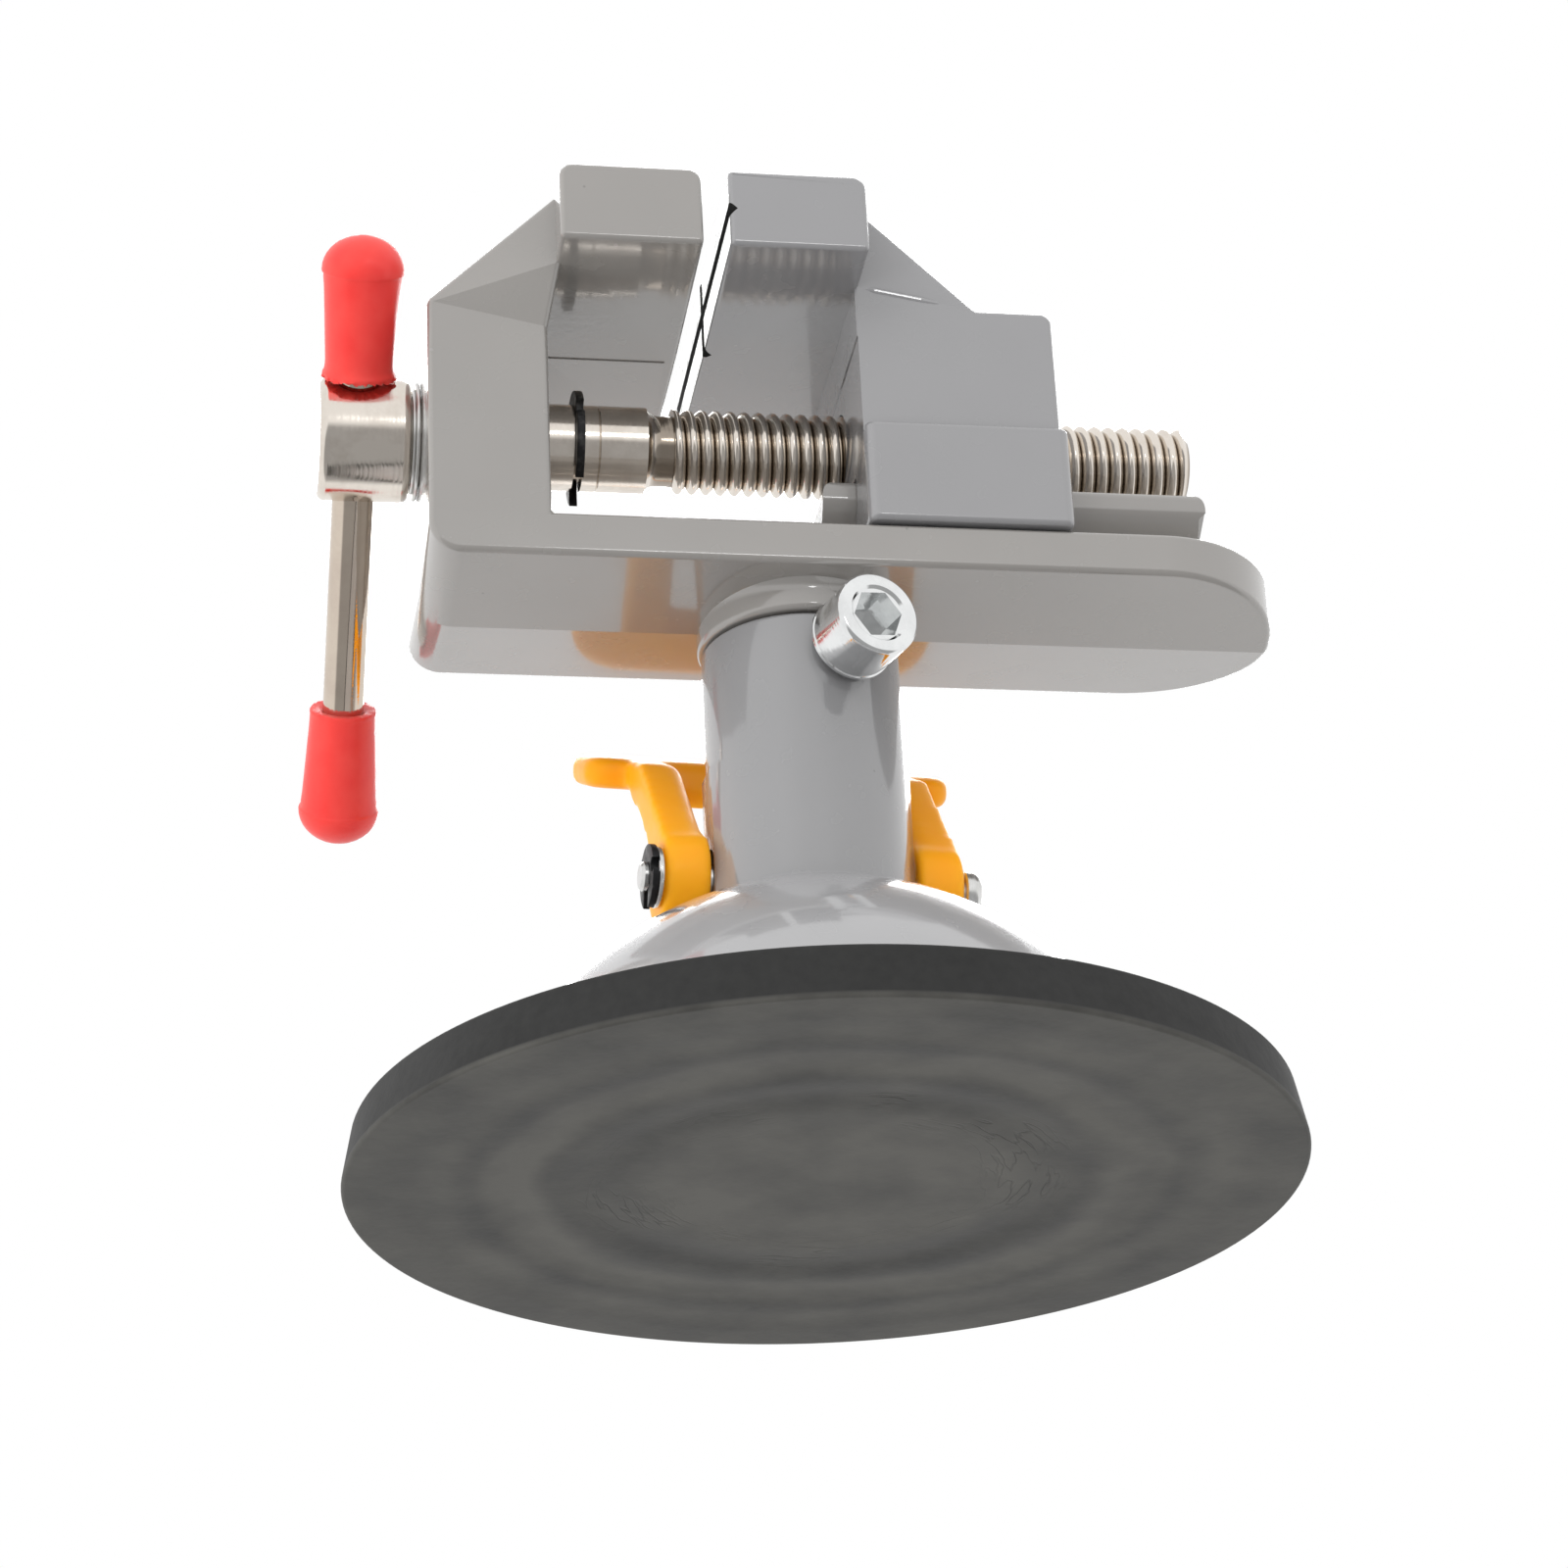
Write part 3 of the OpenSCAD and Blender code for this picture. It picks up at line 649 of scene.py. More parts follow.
GREY = enamel("grey_enamel", (0.284, 0.269, 0.252), (0.273, 0.259, 0.243), (-24.5, -5, 100.4))
# The base's grey carries painted light below 28 mm, which makes the bell paler.
BASE_GREY = enamel("base_grey_enamel", (0.254, 0.253, 0.258), (0.244, 0.243, 0.248), painted_light_below=28)
COOL_GREY = enamel("cool_grey_enamel", (0.268, 0.266, 0.273), (0.258, 0.256, 0.263))
MILLED = milled_grip()
GROOVE = groove_shade()
RUBBER = rubber()
AMBER = amber()
VINYL = vinyl()
NICKEL = nickel_thread()
BAR_STEEL = plated("bar_nickel", (0.66, 0.57, 0.48), (0.61, 0.52, 0.44), 0.08,
                   (BAR_X, 0, SCREW_Z), (BAR_LEAN, 0, 0))
CHROME = plated("bright_chrome", (0.84, 0.85, 0.85), (0.74, 0.75, 0.75), 0.09,
                (0, 0, LOCK_Z), (math.pi / 2, 0, LOCK_TURN))
ZINC = plated("bright_zinc", (0.78, 0.78, 0.77), (0.62, 0.62, 0.6), 0.24, (0, 0, PIN_Z), (0, math.pi / 2, 0))
OXIDE = black_oxide()
TURNED_STEEL = plated("turned_steel", (0.6, 0.6, 0.61), (0.45, 0.45, 0.45), 0.32)


# Places

UPRIGHT = place((0, 0, 0), (1, 0, 0), (0, 1, 0))
SPINDLE = place((0, 0, SCREW_Z), (0, 1, 0), (0, 0, 1))
BASE_X = Vector((math.cos(BASE_TURN), math.sin(BASE_TURN), 0))
BASE_Y = Vector((-math.sin(BASE_TURN), math.cos(BASE_TURN), 0))
PIN = place((0, 0, PIN_Z), BASE_Y, (0, 0, 1))
LOCK = place((0, 0, LOCK_Z), (math.cos(LOCK_TURN), math.sin(LOCK_TURN), 0), (0, 0, 1))
BAR = place((BAR_X, 0, SCREW_Z), (1, 0, 0), (0, math.cos(BAR_LEAN), math.sin(BAR_LEAN)))


def along(spot, distance):
    """The same place further along its third axis."""
    return spot @ Matrix.Translation((0, 0, distance))


def section_at(x):
    """A place for outlines across the vise, with heights above the beam."""
    return place((x, 0, BEAM_Z), (0, 1, 0), (0, 0, 1))


# Vise body

def grow_web(x_out, x_in, x_back, z_out, z_low, z_high):
    """Grows the sloping web that carries the fixed jaw out of the top of the post, from x_out inwards."""
    lift = 1.0
    z_in = z_out - WEB_FALL
    slice_at((x_out, 0, 0), (1, 0, 0))
    pick_points(lambda p: abs(p.x - x_in) < NEAR and abs(p.z - z_out) < NEAR)
    move((0, 0, -WEB_FALL))
    inner, outer = sorted((x_out, x_in))
    pick_faces(lambda p, n: inner < p.x < outer and n.z > 0.5 and p.z > z_in - NEAR)
    extrude((0, 0, lift))
    for side in (-1, 1):
        send((x_out, side * BODY_W, z_out + lift), (x_back, side * WEB_W, z_high))
        send((x_in, side * BODY_W, z_in + lift), (x_back, side * WEB_W, z_low))
        connect((x_out, side * BODY_W, z_out), (x_back, side * WEB_W, z_low))


def web_creases(x_out, x_in, x_back, z_out):
    """The two creases on each side of a web, which fan out from its outer corner."""
    made = []
    for s in (-1, 1):
        made.append(((x_out, s * BODY_W, z_out), (x_back, s * WEB_W, JAW_LOW)))
        made.append(((x_out, s * BODY_W, z_out), (x_in, s * BODY_W, z_out - WEB_FALL)))
    return made


def jaw_block(name, back, grip, grip_edge):
    """A jaw with well rounded top corners, softer lower edges and a faint ridge along its underside."""
    low, high = sorted((back, grip))
    piece = block(name, (low, -JAW_W, JAW_LOW), (high, JAW_W, JAW_TOP))
    slice_at((0, RIDGE_Y, 0), (0, 1, 0))
    pick_points(lambda p: abs(p.y - RIDGE_Y) < NEAR and p.z < JAW_LOW + NEAR)
    move((0, 0, -RIDGE_DROP))
    round_edges(1.5, 8, lambda p, way, turn: turn > 45 and abs(way.y) > 0.9 and p.z > JAW_TOP - NEAR
                and abs(p.x - grip) > NEAR)
    round_edges(grip_edge, 6, lambda p, way, turn: turn > 45 and abs(way.y) > 0.9 and p.z > JAW_TOP - NEAR
                and abs(p.x - grip) < NEAR)
    round_edges(0.55, 5, lambda p, way, turn: turn > 45)
    leave()
    return piece


def rail_outline(gap):
    """Section of the dovetail rail, grown by a gap for the slot that rides on it."""
    foot = 1.8
    edge = 1.0
    neck, wide, top = RAIL_NECK + gap, RAIL_W + gap, RAIL_H + gap
    right = [(neck, -2), (neck, foot)]
    right += bow((neck + 0.1, foot + 0.2), (wide, RAIL_HEAD - 0.6), (wide, RAIL_HEAD + 0.5), 6)
    right += arc((wide - edge, top - edge), edge, 0, 90, 6)
    return right + [(-u, v) for u, v in reversed(right)]


def swivel_boss():
    """The round boss under the beam with its fillet, and the spigot that turns in the column."""
    fillet = 2.0
    chamfer = 0.6
    groove = (LOCK_Z - 3.4, LOCK_Z + 3.4)
    inner = SPIGOT_R - 1.0
    top = EDGE_Z + 2.5
    outline = [(0, top), (BOSS_R + fillet, top)]
    outline += arc((BOSS_R + fillet, KEEL_Z), fillet, 90, 180, 8)
    outline += arc((BOSS_R - 0.7, BOSS_Z + 0.7), 0.7, 0, -90, 5)
    outline += [(SPIGOT_R, BOSS_Z), (SPIGOT_R, groove[1]), (inner, groove[1]), (inner, groove[0])]
    outline += [(SPIGOT_R, groove[0]), (SPIGOT_R, SPIGOT_END + chamfer)]
    outline += [(SPIGOT_R - chamfer, SPIGOT_END), (0, SPIGOT_END)]
    return turned("boss", outline, UPRIGHT)


def body_casting():
    gable = EDGE_Z - KEEL_Z
    lean = 0.35
    x_back = JAW_BACK + 0.5
    piece = block("body_casting", (BODY_LEFT, -BODY_W, KEEL_Z), (BODY_TIP, BODY_W, BEAM_Z))
    round_edges(BODY_W - 0.05, 24, lambda p, way, turn: abs(way.z) > 0.9 and p.x > BODY_TIP - NEAR)
    leave()
    below = [(-2 * BODY_W, -20), (2 * BODY_W, -20), (2 * BODY_W, 2 * gable), (0, 0), (-2 * BODY_W, 2 * gable)]
    carve(piece, prism("gable", below, place((-100, 0, KEEL_Z), (0, 1, 0), (0, 0, 1)), 200))
    edit(piece)
    pick_points(lambda p: p.z < EDGE_Z + NEAR)
    bpy.ops.transform.resize(value=(1, 1 - lean / BODY_W, 1), center_override=(0, 0, 0))
    round_edges(3.5, 10, lambda p, way, turn: p.x < BODY_LEFT + NEAR and abs(way.z) < 0.5 and p.z < EDGE_Z)
    slice_at((UPRIGHT_X, 0, 0), (1, 0, 0))
    pick_faces(lambda p, n: n.z > 0.9 and p.x < UPRIGHT_X)
    extrude((0, 0, SHOULDER_Z - BEAM_Z))
    grow_web(BODY_LEFT, UPRIGHT_X, x_back, SHOULDER_Z, JAW_LOW, WEB_TOP)
    round_edges(0.6, 6, lambda p, way, turn: turn > 30 and abs(p.x - x_back) > NEAR)
    leave()
    rail = prism("rail", rail_outline(0), section_at(RAIL_LEFT), RAIL_RIGHT - RAIL_LEFT)
    edit(rail)
    pick_points(lambda p: p.x > RAIL_RIGHT - NEAR and p.z < BEAM_Z + RAIL_HEAD)
    move((-0.7, 0, 0))
    leave()
    ends = round_oblong(RAIL_LEFT, BEAM_Z - 8, RAIL_RIGHT, BEAM_Z + RAIL_H + 0.01, 1.9)
    combine(rail, prism("ends", ends, place((0, 30, 0), (1, 0, 0), (0, 0, 1)), 60), "INTERSECT")
    flash = block("flash", (JAW_BACK + 1, RIDGE_Y - 0.14, RIDGE_Z - 0.13),
                  (GRIP_X - 1.3, RIDGE_Y + 0.14, RIDGE_Z + 0.6))
    leave()
    weld(piece, jaw_block("jaw", JAW_BACK, GRIP_X, 1.5), flash, rail, swivel_boss())
    carve(piece, rod("bore", SHANK_R + FIT_GAP, -14, 0, along(SPINDLE, UPRIGHT_X + 1)))
    creases = [((BODY_LEFT, 0, KEEL_Z), (BODY_TIP, 0, KEEL_Z))]
    creases += [((JAW_BACK, RIDGE_Y, RIDGE_Z), (GRIP_X, RIDGE_Y, RIDGE_Z))]
    creases += [((BODY_LEFT, s * BODY_W, BEAM_Z), (UPRIGHT_X, s * BODY_W, BEAM_Z)) for s in (-1, 1)]
    creases += web_creases(BODY_LEFT, UPRIGHT_X, x_back, SHOULDER_Z)
    mark_creases(piece, creases)
    smooth(piece)
    settle(piece, "head", "grey_paint", [GREY, MILLED], "vise_body")
    paint(piece, 1, lambda p, n: n.x > 0.99 and abs(p.x - GRIP_X) < NEAR and p.z > JAW_LOW)


# Moving jaw

def sloping_web(x_flat, x_back):
    """The web behind the moving jaw, which spreads out above a fold that rises across the block's side."""
    low = BLOCK_Z - 4
    fold_z = BLOCK_Z + FOLD_RISE
    wall = BODY_W - 0.01
    corners = [(x_back, low), (x_flat + 2, low), (x_flat, BLOCK_Z), (x_back, WEB_TOP), (x_back, fold_z)]
    piece = prism("web", corners, place((0, wall, 0), (1, 0, 0), (0, 0, 1)), 2 * wall)
    edit(piece)
    for side in (-1, 1):
        connect((x_flat, side * wall, BLOCK_Z), (x_back, side * wall, fold_z))
        send((x_back, side * wall, WEB_TOP), (x_back, side * WEB_W, WEB_TOP))
    round_edges(0.4, 4, lambda p, way, turn: turn > 45 and p.x > x_back + NEAR and p.z > BLOCK_Z + NEAR)
    leave()
    bead = [(0, 0), (0.33, 1.2), (0.45, 3), (0.45, 8.3), (0.2, 9.6), (0, 9.8)]
    fold = Vector((x_back - x_flat, 0, FOLD_RISE)).normalized()
    for side in (-1, 1):
        foot = Vector((x_flat, side * (BODY_W - 0.25), BLOCK_Z))
        spot = place(foot + 3 * fold, (0, 1, 0), fold.cross((0, 1, 0)))
        weld(piece, turned("bead", bead, spot, 16))
    return piece


def jaw_casting():
    x_flat = SLIDE_BACK_X + (JAW_TOP - BLOCK_Z) * 1.09
    x_back = SLIDE_BACK_X - 0.5
    vee = 0.9
    groove_z = JAW_LOW + (JAW_TOP - JAW_LOW) * 0.48
    piece = block("jaw_casting", (BLOCK_X, -BODY_W, CARRIAGE_TOP - 1), (BLOCK_END, BODY_W, BLOCK_Z))
    round_edges(1.3, 8, lambda p, way, turn: turn > 30 and p.x > BLOCK_END - NEAR and p.z > BLOCK_Z - NEAR)
    slice_at((x_flat, 0, 0), (1, 0, 0))
    round_edges(0.6, 6, lambda p, way, turn: turn > 30 and p.x > x_flat + NEAR and p.z > CARRIAGE_TOP - 0.9)
    leave()
    web = sloping_web(x_flat, x_back)
    carriage = block("carriage", (BLOCK_X, -CARRIAGE_W, CARRIAGE_LOW),
                     (CARRIAGE_END, CARRIAGE_W, CARRIAGE_TOP))
    round_edges(1.2, 6, lambda p, way, turn: turn > 30 and abs(way.z) > 0.9)
    round_edges(0.6, 6, lambda p, way, turn: turn > 30)
    leave()
    weld(piece, web, carriage, jaw_block("jaw", SLIDE_BACK_X, SLIDE_GRIP_X, 0.5))
    slot = prism("slot", rail_outline(SLIDE_GAP), section_at(BLOCK_X - 5), BLOCK_END - BLOCK_X + 10)
    bore = rod("bore", THREAD_R + FIT_GAP, 0, 40, along(SPINDLE, BLOCK_X - 5))
    diamond = [(-vee, 0), (0, -vee), (vee, 0), (0, vee)]
    across = place((SLIDE_GRIP_X, JAW_W + 1, groove_z), (1, 0, 0), (0, 0, 1))
    upwards = place((SLIDE_GRIP_X, 0, JAW_LOW - 2), (1, 0, 0), (0, 1, 0))
    level = prism("level", diamond, across, 2 * JAW_W + 2)
    plumb = prism("plumb", diamond, upwards, JAW_TOP - JAW_LOW + 4)
    carve(piece, slot, bore, level, plumb)
    creases = [((SLIDE_GRIP_X, RIDGE_Y, RIDGE_Z), (SLIDE_BACK_X, RIDGE_Y, RIDGE_Z))]
    creases += [((x_flat, s * BODY_W, BLOCK_Z), (x_back, s * BODY_W, BLOCK_Z + FOLD_RISE)) for s in (-1, 1)]
    mark_creases(piece, creases)
    smooth(piece)
    settle(piece, "jaw", "grey_paint_cool", [COOL_GREY, MILLED, GROOVE], "moving_jaw")
    paint(piece, 1, lambda p, n: n.x < -0.99 and abs(p.x - SLIDE_GRIP_X) < NEAR and p.z > JAW_LOW)
    # The groove faces get the painted shade.
    paint(piece, 2, lambda p, n: SLIDE_GRIP_X < p.x < SLIDE_GRIP_X + vee and -0.8 < n.x < -0.6
          and p.z > JAW_LOW - 1 and (abs(p.y) < vee or abs(p.z - groove_z) < vee))


# Suction base

def bell_housing():
    bore = 4.58
    z_bore = COLUMN_TOP - 14.8
    cavity = BELL_R - BELL_WALL
    dome_foot = (32.97, 12.6)
    flange_top = PAD_H + FLANGE_H
    crown = math.degrees(math.acos((COLUMN_R + 0.7) / BELL_R))
    foot = math.degrees(math.atan2(dome_foot[1] + BELL_DROP, dome_foot[0]))
    shoulder = (BELL_R * math.cos(math.radians(crown)), BELL_R * math.sin(math.radians(crown)) - BELL_DROP)
    low = math.degrees(math.asin((PAD_H + BELL_DROP) / cavity))
    high = math.degrees(math.acos(bore / cavity))
    outline = [(SPIGOT_R + 0.5, COLUMN_TOP)] + arc((COLUMN_R - 0.5, COLUMN_TOP - 0.5), 0.5, 90, 0, 4)
    outline += bow((COLUMN_R, shoulder[1] + 1.0), (COLUMN_R, shoulder[1] + 0.25), shoulder, 5)
    outline += arc((0, -BELL_DROP), BELL_R, crown - 2, foot, 20)
    outline += bow(dome_foot, (35.6, flange_top + 0.1), (FLANGE_R - 1.5, flange_top), 10)[1:]
    outline += arc((FLANGE_R - 0.6, flange_top - 0.6), 0.6, 90, 0, 4) + [(FLANGE_R, PAD_H)]
    outline += arc((0, -BELL_DROP), cavity, low, high, 16)
    outline += [(bore, z_bore), (SPIGOT_R + FIT_GAP, z_bore), (SPIGOT_R + FIT_GAP, COLUMN_TOP - 0.4)]
    piece = turned("bell_housing", outline, UPRIGHT, 128, ring=True)
    z_flat = math.sqrt((BELL_R - BELL_WALL / 2) ** 2 - COLUMN_R ** 2) - BELL_DROP
    width = 2.2
    blend = math.atan2(width, SIDE_PAD_X) + math.acos(COLUMN_R / math.hypot(width, SIDE_PAD_X))
    far = ((COLUMN_R - 0.05) * math.cos(blend), (COLUMN_R - 0.05) * math.sin(blend))
    flat = [(SIDE_PAD_X, -width), (SIDE_PAD_X, width), far, (COLUMN_R * 0.7, 0), (far[0], -far[1])]
    slot_r = PIN_R + 0.3
    slot = round_oblong(-slot_r, -slot_r, slot_r, slot_r + PLUNGER_LIFT, slot_r - NEAR)
    seat = round_oblong(CAM_AT[0] - CAM_R - 0.3, CAM_AT[1] - CAM_R - 0.3, CAM_AT[0] + CAM_R + 0.3, 20, 2.5)
    for side in (-1, 1):
        spot = place((0, 0, z_flat), side * BASE_X, side * BASE_Y)
        weld(piece, prism("side_flat", flat, spot, PIN_Z + 12.5 - z_flat))
    for start in (SIDE_PAD_X, -SIDE_PAD_X - 20):
        carve(piece, prism("seat", seat, along(PIN, start), 20))
    carve(piece, prism("slot", slot, along(PIN, -30), 60))
    carve(piece, rod("lock_hole", LOCK_R + FIT_GAP, 0, 20, LOCK, 64))
    smooth(piece)
    settle(piece, "base", "grey_paint", [BASE_GREY], "base_housing")


def underside_height(radius):
    """Height of the pad's shallow rings above the bench: the lip rests, and the middle is drawn up
    a little."""
    lip = 0.9
    ring_width = 9.5
    share = radius / PAD_R
    if share >= lip:
        return 0.0
    dish = 0.55 * (1 - (share / lip) ** 2)
    swell = 0.3 * math.sin(math.pi * share / lip) * min(1.0, (share / 0.5) ** 3)
    return dish + swell * (1 - math.cos(2 * math.pi * radius / ring_width)) / 2


def rubber_pad():
    lip = 0.45
    taper = 0.95
    hub = 12.35
    web_z = 3.4
    foot_z = 2.65
    pocket = 42
    steps = 90
    radii = [PAD_R * 0.95 * i / steps for i in range(steps + 1)]
    outline = [(radius, underside_height(radius)) for radius in radii]
    outline += arc((PAD_R - lip, lip), lip, -90, 0, 5)
    outline += arc((PAD_R - taper - lip, PAD_H - lip), lip, 5, 90, 5)
    outline += [(pocket, PAD_H), (pocket, web_z), (hub + 3, web_z), (hub + 3, PAD_H)]
    outline += [(hub, PAD_H), (hub, foot_z), (0, foot_z)]
    piece = turned("rubber_pad", outline, UPRIGHT, 160)
    smooth(piece)
    settle(piece, "base", "rubber_black", [RUBBER], "suction_pad")


# Lever and its pin

def lean_back(points):
    """Turns an outline along the lever's arms to the angle that they stand at."""
    c, s = math.cos(LEVER_ANGLE), math.sin(LEVER_ANGLE)
    return [(u * c - v * s, u * s + v * c) for u, v in points]


def lever_arm(inner, outer):
    """One arm: a round cam at the pin that runs out into a flat bar up to the paddle, rounded on its
    inner side."""
    end = LEVER_LENGTH
    front = [(1.0, 3.9), (10.0, 3.8), (19.7, 3.9), (end + 0.65, 1.5)]
    back = [(end + 1.4, -0.5), (end - 0.65, -1.55)]
    back += bow((20.6, -1.5), (12.0, 0.4), (7.5, -1.9), 6) + [(3.0, -4.2)]
    cam = prism("cam", arc(CAM_AT, CAM_R, 0, 350, 35), along(PIN, inner), outer - inner)
    bar = prism("arm", lean_back(front + back), along(PIN, inner), outer - inner)
    near = min((inner, outer), key=abs)

    def inner_side(point, way, turn):
        spot = PIN.inverted() @ point
        return turn > 60 and abs(spot.z - near) < NEAR and spot.x < spot.y * 0.85 - 1

    edit(bar)
    round_edges(1.8, 5, inner_side)
    leave()
    weld(bar, cam)
    return bar


def amber_lever():
    length, thick, half = 15.0, 3.5, 21.0
    end = LEVER_LENGTH
    piece = lever_arm(ARM_IN + 0.05, ARM_OUT - 0.05)
    weld(piece, lever_arm(-ARM_OUT + 0.05, -ARM_IN - 0.05))
    tie = [(end - 4.5, -1.75), (end - 4.5, 0.3), (end, 0.8), (end + 1.4, -0.5), (end - 0.65, -1.55)]
    weld(piece, prism("tie", lean_back(tie), along(PIN, -ARM_IN - 1), 2 * ARM_IN + 2))
    rise = BASE_Y * math.cos(PADDLE_ANGLE) + Vector((0, 0, math.sin(PADDLE_ANGLE)))
    root = PIN @ Vector((end * math.cos(LEVER_ANGLE), end * math.sin(LEVER_ANGLE), 0))
    plane = along(place(root, BASE_X, rise), -thick / 2)
    near, far = 2.6, 6.5
    outline = arc((half - near, near), near, -90, 0, 6) + arc((half - far, length - far), far, 0, 90, 10)
    outline += arc((far - half, length - far), far, 90, 180, 10) + arc((near - half, near), near, 180, 270, 6)
    paddle = prism("paddle", outline, plane, thick)
    edit(paddle)
    round_edges(1.2, 4, lambda p, way, turn: turn > 60)
    leave()
    weld(piece, paddle)
    remesh = piece.modifiers.new("remesh", "REMESH")
    remesh.mode = "VOXEL"
    remesh.voxel_size = 0.34 * MM
    apply(piece, remesh)
    soften = piece.modifiers.new("soften", "SMOOTH")
    soften.factor = 0.5
    soften.iterations = 34
    apply(piece, soften)
    carve(piece, rod("pin_hole", PIN_R + FIT_GAP, -30, 30, PIN, 48))
    smooth(piece, 50)
    settle(piece, "lever", "orange_plastic", [AMBER], "lever")


def pin_rod():
    end = -ARM_OUT - 2.2
    clip = (-ARM_OUT - 1.5, -ARM_OUT - 0.7)
    head = ARM_OUT + 0.1
    outline = [(0, end), (PIN_R - 0.3, end), (PIN_R, end + 0.3), (PIN_R, clip[0])]
    outline += [(PIN_GROOVE, clip[0]), (PIN_GROOVE, clip[1]), (PIN_R, clip[1]), (PIN_R, head)]
    outline += [(2.3, head), (2.5, head + 0.2), (2.5, head + 0.9)]
    outline += arc((1.5, head + 0.9), 1.0, 10, 90, 6) + [(0, head + 1.95)]
    piece = turned("pin_rod", outline, PIN, 64)
    smooth(piece)
    settle(piece, "plunger", "bright_steel", [ZINC], "lever_pin")


def flat_ring(name, spot, inner, outer, thick):
    """A washer with its edges rounded by tumbling."""
    edge = thick * 0.3
    outline = [(inner, edge), (inner, thick - edge), (inner + edge, thick)]
    outline += arc((outer - edge, thick - edge), edge, 90, 0, 4) + arc((outer - edge, edge), edge, 0, -90, 4)
    outline += [(inner + edge, 0)]
    return turned(name, outline, spot, 72, ring=True)


def e_clip(name, spot, inner, outer, mouth, thick):
    """An E-clip: a ring with a mouth towards its place's first axis, and two notches."""
    piece = turned(name, [(inner, 0), (outer, 0), (outer, thick), (inner, thick)], spot, 72, ring=True)
    gap = [(0, -mouth / 2), (outer + 1, -mouth / 2), (outer + 1, mouth / 2), (0, mouth / 2)]
    carve(piece, prism("mouth", gap, along(spot, -1), thick + 2))
    for side in (-1, 1):
        centre = (-0.32 * outer, side * (inner + outer) * 0.56)
        notch = arc(centre, (outer - inner) * 0.36, 0, 340, 17)
        carve(piece, prism("notch", notch, along(spot, -1), thick + 2))
    edit(piece)
    round_edges(thick * 0.12, 2, lambda p, way, turn: turn > 50)
    leave()
    smooth(piece)
    return piece


def pin_fittings():
    washer = flat_ring("pin_washer", along(PIN, -ARM_OUT - 0.7), PIN_R + FIT_GAP, PIN_R + 1.7, 0.6)
    smooth(washer)
    settle(washer, "plunger", "bright_steel", [ZINC], "lever_pin_washer")
    mouth = math.radians(20)
    across = BASE_Y * math.sin(mouth) + Vector((0, 0, -math.cos(mouth)))
    up = BASE_Y * math.cos(mouth) + Vector((0, 0, math.sin(mouth)))
    spot = place(PIN @ Vector((0, 0, -ARM_OUT - 1.45)), across, up)
    clip = e_clip("pin_clip", spot, PIN_GROOVE + 0.03, PIN_R * 2.2, PIN_R * 1.3, 0.7)
    settle(clip, "plunger", "black_steel", [OXIDE], "lever_pin_clip")


# Swivel lock

def cap_screw():
    tip = 6.3
    seat = 11.5
    face = 18.7
    head = 4.75
    edge = 0.55
    socket = 5.0 / 2 / math.cos(math.radians(30))
    depth = 4.5
    outline = [(0, tip), (LOCK_R - 0.5, tip), (LOCK_R, tip + 0.5), (LOCK_R, seat)]
    outline += [(head - 0.7, seat), (head, seat + 0.6)]
    outline += [(head, seat + 0.95), (head - 0.12, seat + 1.1)]
    outline += arc((head - edge, face - edge), edge, 0, 85, 6)
    outline += [(socket + 0.4, face), (socket + 0.08, face - 0.3), (0, face - 0.3)]
    piece = turned("cap_screw", outline, LOCK, 96)
    hexagon = arc((0, 0), socket, 10, 310, 5)
    carve(piece, prism("socket", hexagon, along(LOCK, face - depth), depth + 1))
    drill = [(0, face - depth - 1.2), (socket * 0.82, face - depth + 0.02), (0, face - depth + 0.3)]
    carve(piece, turned("drill", drill, LOCK, 48))
    smooth(piece)
    settle(piece, "lock_screw", "chrome_screw", [CHROME, OXIDE], "lock_screw")

    # Painted shade: the shank under the head gets the black oxide finish, so the gap under the head reads
    # dark.
    def shank_in_shaded_gap(point, normal):
        spot = LOCK.inverted() @ point
        return spot.z < seat and spot.xy.length < LOCK_R + 0.2

    paint(piece, 1, shank_in_shaded_gap)


# Lead screw and handle

def thread_rod():
    """The worn, rounded helical thread, swept round the spindle's axis and trimmed to its length with
    a chamfer."""
    steps = 12
    depth = THREAD_R - THREAD_ROOT
    turns = math.ceil((SCREW_END - THREAD_START) / PITCH) + 3
    start = THREAD_START - 1.5 * PITCH
    shares = [i / steps for i in range(steps + 1)]
    profile = [(PITCH * s, THREAD_ROOT + depth * math.sin(math.pi * s) ** 0.7) for s in shares]
    piece = line("thread", [Vector((start + x, 0, r)) for x, r in profile])
    leave()
    sweep = piece.modifiers.new("sweep", "SCREW")
    sweep.axis = "X"
    sweep.angle = 2 * math.pi
    sweep.screw_offset = PITCH * MM
    sweep.iterations = turns
    sweep.steps = sweep.render_steps = 36
    sweep.use_merge_vertices = True
    sweep.merge_threshold = 1e-6
    apply(piece, sweep)
    edit(piece)
    close_up()
    move((0, 0, SCREW_Z))
    slice_at((THREAD_START, 0, 0), (-1, 0, 0), trim=True)
    slice_at((SCREW_END, 0, 0), (1, 0, 0), trim=True)
    close_up()
    leave()
    sleeve = [(0, THREAD_START - 1), (THREAD_R + 1, THREAD_START - 1), (THREAD_R + 1, SCREW_END - 1.8),
              (THREAD_ROOT - 0.1, SCREW_END - 0.02), (0, SCREW_END - 0.02)]
    combine(piece, turned("sleeve", sleeve, SPINDLE, 72), "INTERSECT")
    return piece


